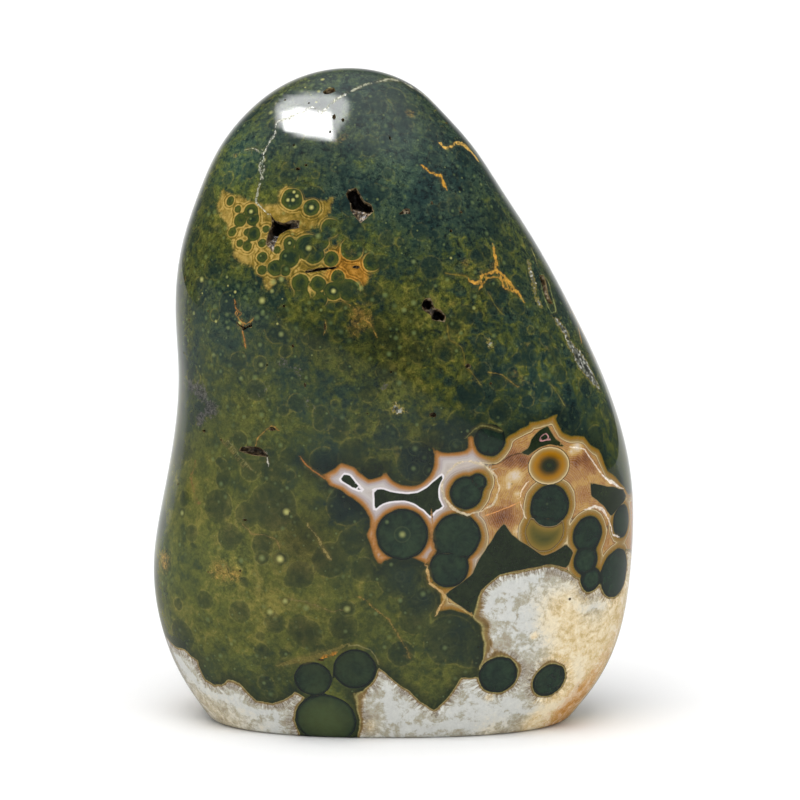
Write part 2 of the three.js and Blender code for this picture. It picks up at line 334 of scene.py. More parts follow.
vugs = {  # x, z, side; wells as (depth, outline seen from outside), mm
    "star": ((-25.7, 116.3, -1), [
        (1.9, [(-2, 3.1), (-0.7, 1.6), (1.3, 1.1), (3, 2), (4.8, 1.9), (4.9, 0.1), (2.2, -0.4), (0.5, -1.6),
               (-0.4, -3.9), (-0.7, -5.6), (-2.7, -3.6), (-2.1, -0.7), (-1.5, 0.7)]),
        (5.5, [(-1.9, 2.9), (-0.7, 1.5), (1.3, 1.0), (2.3, 1.3), (2.2, -0.2), (0.5, -1.4), (-1.0, -1.8),
               (-2.0, -0.6), (-1.5, 0.7)])]),
    "ledge": ((-7.5, 121.4, -1), [
        (1.7, [(-3.2, 2.6), (-2.5, 3.6), (-0.7, 4), (0.9, 1), (2.6, 0.1), (3.2, -1.5), (0.1, -4.2),
               (-2.1, -1.3), (-2.2, 0.4)]),
        (5.2, [(-3.1, 2.6), (-2.5, 3.5), (-0.7, 3.9), (0.8, 1), (2.5, 0.1), (3.1, -1.4), (1.6, -1.6),
               (0.2, -0.9), (-1.9, -0.6), (-2.1, 0.4)])]),
    "spur": ((2.4, 119.9, -1), [(0.9, [(-1.5, -0.7), (-0.1, 0.6), (1.2, 0.7), (1.3, -0.5)])]),
    "twin": ((8.7, 98.7, -1), [
        (1.5, [(-2.6, 1.2), (-1.8, 2.5), (-0.4, 2.7), (0.5, 0.4), (1.9, -0.1), (2.9, -1.5), (2.6, -2.9),
               (-0.3, -2.3), (-0.6, -1.2), (-2.2, 0)]),
        (4.6, [(-2.5, 1.2), (-1.8, 2.4), (-0.4, 2.6), (0.2, 0.9), (-0.6, 0.2), (-2.0, 0.3)]),
        (4.4, [(0.7, -0.1), (1.9, -0.2), (2.8, -1.5), (2.5, -2.8), (-0.2, -2.2), (0.1, -1.1)])]),
    "lens": ((-31.4, 66.6, -1), [(1.8, [(-4, 0), (-3, 0.9), (-1.2, 1.2), (1.6, 1.2), (2.9, 0.5), (4, -0.9),
                                        (0, -0.8), (-2, -0.4)])]),
    "thread": ((-16.3, 107.6, -1), [(2, [(-3.5, -0.5), (-0.4, 0.3), (3.7, 0.6), (3.6, 0.1), (-0.4, -0.6),
                                         (-3.4, -1)])]),
    "crescent": ((-33.4, 94.4, -1), [(2.4, [(-2.1, 1.2), (-0.8, 0.3), (0.3, 0), (1.4, 0.5), (2, 1.2),
                                            (2.2, -0.1), (1.2, -0.1), (-0.2, -1.1), (-0.8, -0.2),
                                            (-1.9, 0.8)])]),
    "slit": ((34.2, 101.3, -1), [(3.2, [(-0.4, 3.6), (2, 3.4), (1.6, 1.3), (0.4, -1), (0.7, -3.7),
                                        (-1.1, -3.4), (-1.5, -2.2), (-1.1, 0.5)])]),
    "crown": ((-14.3, 145.6, -1), [(1.8, [(-1.7, -0.3), (-0.6, 0.9), (0.8, 1.1), (1.4, -0.1), (0.2, -0.9),
                                          (-1.2, -1)])]),
    "rear": ((3, 60, 1), [
        (1.8, [(-3, 1.4), (-0.6, 2.4), (2, 1.2), (3.3, -1), (0.6, -1.8), (-1.8, -1.2)]),
        (4.2, [(-2.2, 1.2), (-0.6, 2.0), (1.4, 0.9), (1.8, -0.8), (0.4, -1.3), (-1.4, -0.8)])]),
    "rearSlit": ((19, 103, 1), [(2.4, [(-2.8, 1.6), (-0.4, 0.9), (2.6, -1.2), (0.2, -0.4), (-2.2, 0.6)])]),
}

pinholes = {
    "placed": [  # pixel, size across and up, mm
        (334, 117, 0.9, 1.4), (343, 120, 0.7, 1.0), (330, 132, 0.5, 0.9), (309, 103, 0.5, 0.5),
        (390, 138, 0.5, 1.0), (298, 169, 1.3, 0.8), (306, 165, 0.7, 0.7), (285, 100, 0.7, 0.5),
        (432, 203, 0.7, 0.9), (468, 366, 1.5, 1.2), (433, 415, 1.6, 1.2), (305, 385, 0.6, 1.0),
        (178, 484, 0.6, 0.6), (208, 311, 0.5, 0.6), (189, 320, 0.5, 0.6), (236, 304, 0.6, 0.6),
        (185, 279, 0.7, 1.9), (175, 429, 0.6, 2.2), (461, 212, 0.8, 0.7), (451, 231, 0.8, 0.7),
        (510, 240, 0.6, 0.5), (284, 306, 0.7, 0.7), (325, 327, 0.5, 1.9), (293, 346, 0.6, 0.8),
        (267, 365, 0.5, 0.6), (184, 353, 0.6, 0.6), (204, 431, 1.2, 0.8), (356, 267, 1.9, 0.8),
        (272, 429, 1.8, 1.0), (221, 440, 0.5, 0.5), (245, 520, 1.1, 0.5), (559, 320, 0.8, 0.9),
        (208, 572, 0.5, 0.5), (240, 571, 0.6, 0.6), (391, 372, 0.6, 0.5), (463, 144, 0.5, 0.5),
        (505, 187, 0.6, 0.6), (321, 660, 1.6, 0.6),
    ],
    "others": 120,
    "sizes": (0.25, 0.75),
    "heights": (6, 144),
    "gap": 2.2,  # mm between two, and from the middle of a vug
    "vugGap": 8,
    "bestFace": -0.25,  # an outward y below this faces the camera, where most are left out
    "leftOut": 0.8,
    "tries": 4000,
    "seed": 7,
}

druse = {
    "voxel": 0.23,  # mm
    "grain": 0.95,  # mm between crystals
    "height": 0.42,  # mm a crystal stands into the hollow
    "roughness": 0.22,
}


def wellMesh(mouth, depth, outline):
    # closed prism through the skin, narrowing as it goes down: rings as (level, share of the outline)
    place, right, up, out = mouth
    middle = np.mean(outline, axis=0)
    rings = [(1.2, 1.0), (-0.15, 1.0), (-depth * 0.55, 0.95), (-depth * 0.85, 0.75), (-depth, 0.45)]
    points = []
    for level, share in rings:
        for x, y in outline:
            across, high = middle[0] + (x - middle[0]) * share, middle[1] + (y - middle[1]) * share
            points.append(place + right * across + up * high + out * level)
    count = len(outline)
    faces = [tuple(range(count)), tuple(range(len(points) - 1, len(points) - count - 1, -1))]
    for first in range(0, count * (len(rings) - 1), count):
        for i in range(count):
            j = (i + 1) % count
            faces.append((first + j, first + i, first + count + i, first + count + j))
    return points, faces


def crystalWalls(points, normals, lining):
    # push walls into the cavity where crystals stand, more the deeper the wall lies
    depths = skin.depths(points)
    moved = []
    for point, normal, depth in zip(points, normals, depths):
        spot = Vector(point)
        near, _ = noise.voronoi(spot / lining["grain"], distance_metric="DISTANCE_SQUARED", exponent=2.5)
        peak = max(0, 0.75 - math.sqrt(near[0]) * 1.15) * lining["height"]
        coarse, fine = noise.noise(spot * 0.8), noise.noise(spot * 2.6)
        rub = coarse * lining["roughness"] + fine * lining["roughness"] * 0.4
        share = min(1, max(0.1, depth / 0.9))
        moved.append(spot - Vector(normal) * (peak * share + rub * (0.35 + 0.65 * share)))
    return moved


def vugCutter(vugs, lining):
    points, faces = [], []
    for (x, z, side), wells in vugs.values():
        mouth = skin.frame(x, z, side)
        for depth, outline in wells:
            wellPoints, wellFaces = wellMesh(mouth, depth, outline)
            faces += [tuple(i + len(points) for i in face) for face in wellFaces]
            points += wellPoints
    mesh = bpy.data.meshes.new("wells")
    mesh.from_pydata(points, [], faces)
    wells = bpy.data.objects.new("wells", mesh)
    bpy.context.collection.objects.link(wells)
    remesh = wells.modifiers.new("remesh", "REMESH")
    remesh.mode = "VOXEL"
    remesh.voxel_size = lining["voxel"]
    made = bpy.data.meshes.new_from_object(wells.evaluated_get(bpy.context.evaluated_depsgraph_get()))
    bpy.data.objects.remove(wells)
    places = np.array([vertex.co[:] for vertex in made.vertices])
    outs = [vertex.normal[:] for vertex in made.vertices]
    return crystalWalls(places, outs, lining), [tuple(polygon.vertices) for polygon in made.polygons]


def pinholeSpots(holes, mouths):
    # (place, out, width, height): those that show in front, then a seeded scatter over the rest
    chance = random.Random(holes["seed"])
    spots = []
    for px, py, wide, high in holes["placed"]:
        place = Vector(skin.seen(px, py))
        spots.append((place, skin.tree.find_nearest(place)[1], wide, high))
    tries = 0
    smallest, largest = holes["sizes"]
    while len(spots) < len(holes["placed"]) + holes["others"] and tries < holes["tries"]:
        tries += 1
        z = chance.uniform(*holes["heights"])
        place = Vector(surface.points(np.array(chance.uniform(-math.pi, math.pi)), np.array(z)))
        place, out = skin.tree.find_nearest(place)[:2]
        if out.y < holes["bestFace"] and chance.random() < holes["leftOut"]:
            continue
        crowded = any((place - other[0]).length <= holes["gap"] for other in spots)
        if not crowded and all((place - mouth).length > holes["vugGap"] for mouth in mouths):
            size = smallest + (largest - smallest) * chance.random() ** 3
            spots.append((place, out, size * chance.uniform(0.7, 1.5), size * chance.uniform(0.7, 1.6)))
    return spots


def pinholeCutter(holes, mouths):
    ball = bmesh.new()
    bmesh.ops.create_icosphere(ball, subdivisions=2, radius=1)
    shape = [vertex.co.copy() for vertex in ball.verts]
    sides = [tuple(vertex.index for vertex in face.verts) for face in ball.faces]
    ball.free()
    points, faces = [], []
    for place, out, wide, high in pinholeSpots(holes, mouths):
        right = Vector((0, 0, 1)).cross(out).normalized()
        up = out.cross(right)
        deep = 0.45 + 0.4 * min(wide, high)
        faces += [tuple(i + len(points) for i in side) for side in sides]
        for corner in shape:
            lump = 1 + 0.35 * noise.noise(corner * 1.3 + place)
            points.append(place + (right * corner.x * wide + up * corner.y * high) * lump * 0.5
                          + out * (corner.z * deep - deep * 0.3))
    return points, faces


def dropCrumbs(mesh):
    # the cut can leave specks loose in the hollows: only the largest part stays
    whole = bmesh.new()
    whole.from_mesh(mesh)
    waiting, parts = set(whole.faces), []
    while waiting:
        part, reached = [], [waiting.pop()]
        while reached:
            face = reached.pop()
            part.append(face)
            for other in {other for edge in face.edges for other in edge.link_faces} & waiting:
                waiting.remove(other)
                reached.append(other)
        parts.append(part)
    parts.sort(key=len)
    bmesh.ops.delete(whole, geom=[face for part in parts[:-1] for face in part], context="FACES")
    whole.to_mesh(mesh)
    whole.free()


def cutStone(name, blank):
    mouths = [skin.frame(*mouth)[0] for mouth, wells in vugs.values()]
    points, faces = vugCutter(vugs, druse)
    morePoints, moreFaces = pinholeCutter(pinholes, mouths)
    faces += [tuple(i + len(points) for i in face) for face in moreFaces]
    mesh = bpy.data.meshes.new("cutter")
    mesh.from_pydata([Vector(point) * mm for point in points + morePoints], [], faces)
    cutter = bpy.data.objects.new("cutter", mesh)
    body = bpy.data.objects.new("body", blank)
    bpy.context.collection.objects.link(cutter)
    bpy.context.collection.objects.link(body)
    cut = body.modifiers.new("cut", "BOOLEAN")
    cut.operation = "DIFFERENCE"
    cut.solver = "MANIFOLD"
    cut.object = cutter
    made = bpy.data.meshes.new_from_object(body.evaluated_get(bpy.context.evaluated_depsgraph_get()))
    bpy.data.objects.remove(cutter)
    bpy.data.objects.remove(body)
    made.name = name
    dropCrumbs(made)
    return made


stoneMesh = cutStone("jasperStone", blankMesh)
print("stone cut,", sum(len(polygon.vertices) - 2 for polygon in stoneMesh.polygons), "triangles")


# ---- shader arithmetic: a wire is one output socket

class Wire:
    def __init__(self, graph, socket):
        self.graph, self.socket = graph, socket

    def sum(self, how, first, second):
        made = self.graph.node("ShaderNodeMath", {"operation": how}, {0: first, 1: second})
        return Wire(self.graph, made.outputs[0])

    def __add__(self, other):
        return self.sum("ADD", self, other)

    def __radd__(self, other):
        return self.sum("ADD", other, self)

    def __sub__(self, other):
        return self.sum("SUBTRACT", self, other)

    def __rsub__(self, other):
        return self.sum("SUBTRACT", other, self)

    def __mul__(self, other):
        return self.sum("MULTIPLY", self, other)

    def __truediv__(self, other):
        return self.sum("DIVIDE", self, other)

    def __abs__(self):
        return self.sum("ABSOLUTE", self, 0)

    def sine(self):
        return self.sum("SINE", self, 0)

    def least(self, other):
        return self.sum("MINIMUM", self, other)

    def most(self, other):
        return self.sum("MAXIMUM", self, other)

    def smooth(self, low, high):
        # 0 below low, 1 above high; the other way round where low is the larger
        if not isinstance(low, Wire) and not isinstance(high, Wire) and low > high:
            return 1 - self.smooth(high, low)
        made = self.graph.node("ShaderNodeMapRange", {"interpolation_type": "SMOOTHSTEP"},
                               {"Value": self, "From Min": low, "From Max": high})
        return Wire(self.graph, made.outputs[0])


class Graph:
    def __init__(self, tree):
        self.tree = tree

    def wire(self, socket):
        return Wire(self, socket)

    def feed(self, socket, value):
        if isinstance(value, Wire):
            value = value.socket
        if isinstance(value, bpy.types.NodeSocket):
            self.tree.links.new(value, socket)
        else:
            socket.default_value = value

    def node(self, kind, settings={}, sockets={}):
        made = self.tree.nodes.new(kind)
        for name, value in settings.items():
            setattr(made, name, value)
        for name, value in sockets.items():
            self.feed(made.inputs[name], value)
        return made

    def blend(self, share, first, second):
        made = self.node("ShaderNodeMix", {"data_type": "FLOAT"}, {0: share, 2: first, 3: second})
        return Wire(self, made.outputs[0])

    def colour(self, share, first, second):
        made = self.node("ShaderNodeMix", {"data_type": "RGBA"}, {0: share, 6: first, 7: second})
        return Wire(self, made.outputs[2])

    def vector(self, how, first, second=None, scale=None, output=0):
        sockets = {0: first}
        if second is not None:
            sockets[1] = second
        if scale is not None:
            sockets["Scale"] = scale
        return Wire(self, self.node("ShaderNodeVectorMath", {"operation": how}, sockets).outputs[output])

    def attribute(self, name, output="Fac"):
        return Wire(self, self.node("ShaderNodeAttribute", {"attribute_name": name}).outputs[output])

    def noise(self, place, scale, detail=3, roughness=0.5, distortion=0, output=0):
        made = self.node("ShaderNodeTexNoise", {}, {
            "Vector": place, "Scale": scale, "Detail": detail, "Roughness": roughness,
            "Distortion": distortion})
        return Wire(self, made.outputs[output])

    def cells(self, place, scale, feature="F1", randomness=1, output=0):
        made = self.node("ShaderNodeTexVoronoi", {"feature": feature}, {
            "Vector": place, "Scale": scale, "Randomness": randomness})
        return Wire(self, made.outputs[output])

    def split(self, value, kind="ShaderNodeSeparateXYZ"):
        return [Wire(self, part) for part in self.node(kind, {}, {0: value}).outputs]

    def cellChance(self, place, scale, channel, randomness=1):
        # a number from 0 to 1 for each cell
        colours = self.cells(place, scale, "F1", randomness, 1)
        return self.split(colours, "ShaderNodeSeparateColor")[channel]

    def ramp(self, value, stops):
        # stops as (value, red, green, blue)
        low, high = stops[0][0], stops[-1][0]
        made = self.node("ShaderNodeValToRGB", {}, {0: (value - low) / (high - low)})
        elements = made.color_ramp.elements
        while len(elements) < len(stops):
            elements.new(0.5)
        for element, (at, *shade) in zip(elements, stops):
            element.position = (at - low) / (high - low)
            element.color = tint(*shade)
        return Wire(self, made.outputs[0])


def linear(share):
    # from a share of the screen's brightness to a share of light
    return share / 12.92 if share < 0.0405 else ((share + 0.055) / 1.055) ** 2.4


def tint(red, green, blue):
    # a colour given as 0-255 on screen
    return linear(red / 255), linear(green / 255), linear(blue / 255), 1


def grey(share):
    return (share,) * 3 + (1,)


# ---- the jasper's pattern: fronts are given as pixels of the picture, rears as mm round and up the stone

orbs = {
    "seen": [  # pixel, radius in pixels on the best face
        (402.3, 534.5, 25.8), (457, 537, 24), (449, 568, 20), (466, 493, 16.5), (478, 482, 9),
        (490, 440, 16), (550, 506, 21.5), (588, 534.5, 18.5), (586, 560, 15), (591, 579, 13),
        (622, 521, 17), (616, 573, 25), (498, 675, 20), (549.5, 680.5, 18.5), (313, 679, 19.5),
        (354.6, 669, 22), (326, 720, 31), (545, 531, 20.5),
    ],
    "quiet": [(409, 461, 25), (272, 670, 32), (216, 675, 10)],  # these only bound the pale parts
    "pale": [(545, 531, 20.5)],  # filled with tan, under its neighbours
    "overPale": [(550, 506, 21.5), (588, 534.5, 18.5)],
    "rear": [  # mm round and up, radius
        (92, 38, 5.2), (99, 44, 4.0), (104, 35, 5.6), (110, 27, 4.4), (86, 30, 3.8), (95, 27, 3.4),
        (116, 38, 3.6), (109, 47, 3.2), (122, 30, 5.0), (84, 46, 3.0), (78, 14, 5.5), (96, 10, 4.2),
        (118, 12, 6.0), (-82, 26, 5.0), (-90, 20, 4.0), (-74, 18, 3.4), (-96, 30, 3.2), (-104, 13, 5.2),
        (-70, 9, 3.6), (-112, 8, 3.4), (-131, 40, 4.6), (-125, 20, 5.2), (-134, 26, 3.4), (-113, 27, 4.2),
        (128, 52, 5.5), (132, 36, 3.6),
    ],
    "ochre": [
        (251, 211.5, 8), (253, 219, 7), (240, 220, 7), (238, 209, 4), (253.4, 234, 7.3), (292, 199, 11),
        (311.5, 207.4, 8.3), (289.5, 243, 6.5), (289.5, 258, 10), (308, 247, 13), (314, 254, 10),
        (331.6, 259, 7.5), (333.5, 291, 9), (352, 249, 11), (247, 246.5, 5), (262, 257, 5.5), (275, 268, 8),
        (300, 283, 9), (318, 284, 8), (349, 290, 11), (247, 232, 4), (232, 232, 5), (262, 243, 4.5),
        (240, 243, 4), (266, 229, 4), (338, 277, 7), (285, 270, 6), (277, 250, 4), (323, 243, 6),
        (331, 228, 9), (230, 201, 5), (262, 270, 5), (372, 262, 9), (302, 296, 8), (320, 300, 7),
    ],
    "faint": [  # half hidden in the green
        (218, 506.5, 17.5), (229.5, 537, 14), (191.7, 533, 9), (272.4, 506.5, 25), (262.7, 545, 12),
        (346.7, 505.6, 20), (323.3, 460.8, 14), (354, 453, 15), (372, 470, 12), (416.7, 461.7, 20),
        (401, 450, 8), (386, 436.5, 13), (288.8, 457, 9), (320, 424, 7), (297, 403, 9), (400, 577, 22),
        (421, 601.6, 15), (404.5, 605, 6), (346.7, 609, 9), (261.5, 557, 8), (280.5, 558.5, 6),
        (266, 683, 9), (307, 634, 16), (570.6, 418.6, 13), (596, 438, 13), (518.7, 359.7, 7), (524, 389, 8),
        (543, 391, 10), (536, 379, 5), (498, 382, 8), (482, 372, 9), (553, 356, 10), (560, 374, 9),
        (546, 339, 8), (531, 330, 4), (501, 297, 6), (517, 306, 9), (466.7, 314.7, 10), (452.8, 327, 9),
        (446, 349, 12), (463, 425, 16), (440, 436, 12), (340, 428, 10), (250, 470, 11), (300, 575, 14),
        (205, 600, 10), (450, 640, 26), (330, 560, 18), (240, 612, 12), (468, 655, 14), (240, 440, 9),
        (500, 412, 12), (470, 395, 14), (493, 287, 9.3), (479, 257, 10), (509, 262, 9), (282, 240, 8),
        (356, 232, 9), (250, 170, 9), (228, 178, 7), (380, 262, 8), (420, 232, 9)],
    "faintScattered": [  # mm, turns in radians
        {"count": 150, "radius": (1.2, 5.5), "turns": (-0.1, 3.24), "heights": (16, 144), "seed": 5},
        {"count": 230, "radius": (0.8, 2.7), "turns": (3.14, 6.28), "heights": (62, 146), "seed": 8},
        {"count": 60, "radius": (1.2, 4.0), "turns": (3.14, 5.2), "heights": (20, 66), "seed": 9}],
    "ochreRear": [(70, 100, 2.2), (75, 97, 1.8), (79, 102, 2.6), (73, 106, 1.9), (84, 98, 2.0), (80, 93, 1.6),
                  (67, 95, 1.7), (88, 104, 2.2), (64, 99, 1.3), (61, 95, 1.1), (90, 99, 1.6), (92, 94, 1.3),
                  (77, 94, 1.2), (86, 105, 1.2), (69, 105, 1.1), (81, 106, 1.3), (73, 101, 1.0)],
}

windows = {  # where the green gives way: agate, quartz, ochre
    "agate": [
        (302.5, 460), (312, 472), (321, 475), (333, 470), (341, 463), (355, 468), (359, 472.5), (370, 479),
        (381, 476), (386, 468), (395, 476), (412, 470), (425, 455), (427, 444), (430, 446), (443, 452),
        (456, 453), (465, 451), (467.5, 447), (467, 435.5), (473.5, 435.5), (474, 446), (490, 442),
        (506, 436), (517, 431), (528, 425), (529, 421), (537, 421), (546.5, 419), (558.6, 413), (556, 420),
        (563, 431), (572, 435), (584, 436), (591, 444), (599, 450), (603, 459), (608, 470), (617.5, 479),
        (624, 486), (628, 494)],
    "agateFarSide": [(6, 0), (13, -7), (15, -17), (10, -30), (12, -60)],  # mm on from the last pixel
    "agateUnder": [
        (600, 745), (358, 745), (360, 720), (355, 705), (352, 693), (363, 690), (373, 681), (378.6, 666),
        (380, 668), (397, 682.5), (410, 692), (423, 702), (435.5, 710), (443, 702), (454.6, 686),
        (461, 677), (478, 677), (478, 669), (483, 658), (483.6, 643), (479.5, 626), (468, 614.5),
        (450, 610), (437, 613), (440, 606), (440, 594), (430, 584), (426, 578), (427, 565), (415, 558.5),
        (400, 561), (383, 561), (379, 567), (374, 557), (370, 545), (366, 536), (370, 528), (368.5, 517),
        (363, 507), (352, 498), (341, 491), (328, 486), (324, 477)],
    "quartz": [
        (440, 745), (440, 690), (455, 655), (468, 632), (472, 618), (474, 610), (477, 598), (486, 585),
        (497.6, 575), (521.7, 570), (544.6, 564.6), (555, 565.7), (570, 570), (577, 576), (592, 584),
        (603, 574), (612, 556), (626, 548)],
    "quartzFarSide": [(10, -3), (22, -9), (30, -60)],
    "quartzLeft": [
        (300, 745), (300, 733), (295, 720), (298, 709), (309, 702), (315, 700), (304, 697), (295, 691),
        (285, 699), (273, 703), (258, 700), (249, 693), (241, 684), (227, 679), (222, 684), (214.5, 685),
        (205.5, 679), (200, 667), (198, 660), (190.5, 655.5), (184.5, 649), (176, 646.5)],
    "quartzLeftFarSide": [(-8, 2), (-16, -3), (-24, -12), (-26, -60)],
    "quartzMiddle": [(350, 745), (346, 690), (376, 655), (400, 672), (432, 700), (450, 660), (470, 650),
                     (530, 650), (530, 745)],
    "ochre": [
        (223, 190), (230, 195), (240, 197), (255.7, 202), (267, 206), (277, 204), (283, 190), (286, 187),
        (290, 192), (305, 200), (318, 200), (332, 199), (329, 213), (323, 222), (306, 231), (302, 244),
        (305, 262), (317, 264), (324.6, 257.5), (329, 248), (337, 243.7), (341.4, 253), (350.6, 259),
        (363, 257.5), (372, 272.8), (366, 284), (350, 282), (340, 300), (325, 299), (323, 280), (308, 290),
        (295.5, 284), (288, 288), (285, 277), (277, 277), (270, 290), (262, 278), (252, 266),
        (243.5, 263.6), (234, 257.5), (232.8, 243.7), (229.7, 227), (220.5, 214.6), (217.5, 207)],
}

rearBands = {  # line as mm round and up the stone, half width
    "agate": ([(76, 38), (86, 44), (98, 50), (111, 43), (124, 46), (137, 36), (150, 30)], 6.5),
    "agateOn": ([(-150, 40), (-137, 34), (-127, 29), (-120, 18), (-117, 4)], 5.5),
    "ochre": ([(62, 96), (72, 103), (84, 100), (94, 92)], 4.5),
}

darkFields = {
    "star": [
        (374, 491), (382, 490), (391, 492.6), (407.5, 494), (418, 493), (429, 487), (441, 475),
        (442.5, 477), (438.5, 490), (438, 499), (442, 508), (436, 510), (431.6, 516), (425, 509),
        (415.5, 503.5), (403, 500.6), (390, 501), (381, 504), (375, 509), (374, 501)],
    "tick": [(340.3, 479.6), (345.3, 474.6), (350.5, 477), (363, 491), (348.6, 485)],
}

deepFields = {  # no pale line round these
    "big": [
        (502.7, 524), (479.5, 558), (473, 575), (463, 583), (445, 595), (453, 601), (464.6, 608),
        (473.7, 615), (476, 603), (481, 590), (496, 576), (517.6, 570), (546, 564), (567, 567), (573, 552),
        (566.5, 545), (554, 553), (542.5, 555), (529, 547), (512.6, 535)],
    "tent": [
        (548, 426.5), (537, 432), (531, 438), (529, 448), (520, 452.5), (529, 455), (537, 449), (550, 443.5),
        (558, 446), (565, 446), (556, 439)],
    "right": [(590.7, 482.4), (609.6, 487), (622.9, 489.6), (625.9, 496.7), (622.9, 503), (617.8, 508),
              (611.6, 516), (606.5, 511), (602.4, 505), (597, 500), (591, 497)],
}

foams = {  # white bands in the quartz, with their half width in mm
    "left": ([(176, 656), (188, 672), (202.5, 689), (216, 696), (231, 699), (243, 708), (255, 713),
              (274, 711), (277, 720), (275, 731)], 0.8),
    "right": ([(504, 699), (513, 708), (522.6, 712), (540, 708), (554, 707), (570, 697), (579, 684),
               (578, 668)], 0.9),
    "high": ([(571, 600), (578, 608), (585, 610), (593, 607), (604, 606)], 0.7),
    "middle": ([(388, 700), (392, 716), (404, 726), (430, 731), (455, 724), (478, 727), (500, 716)], 1.1),
    "crown": ([(488, 606), (494, 594), (506, 584), (524, 578), (541, 576)], 0.9),
}

# the seams' crystals are grey of their own, with the palest painted glints; glint and spark are patches of
# white painted glint
seams = {  # gaps healed with rough grey crystals and a gold lip
    "upper": [(528, 259), (530.5, 262), (531, 270), (534, 277), (536, 288), (537, 298), (543, 307),
              (538, 305), (535, 297), (533, 286), (531, 277), (528, 268)],
    "right": [(552, 316), (557, 319), (562, 323), (566, 328), (569, 336), (572, 343), (578, 349), (585, 358),
              (591, 369), (597, 382), (601, 391), (594, 385), (586, 377), (578, 367), (573, 356), (568, 345),
              (564, 334), (558, 325)],
    "glint": [(390, 406), (397, 404), (401, 409), (408, 412), (400, 414), (393, 411)],
    "spark": [(487, 341), (491, 342), (494, 347), (490, 348)],
}

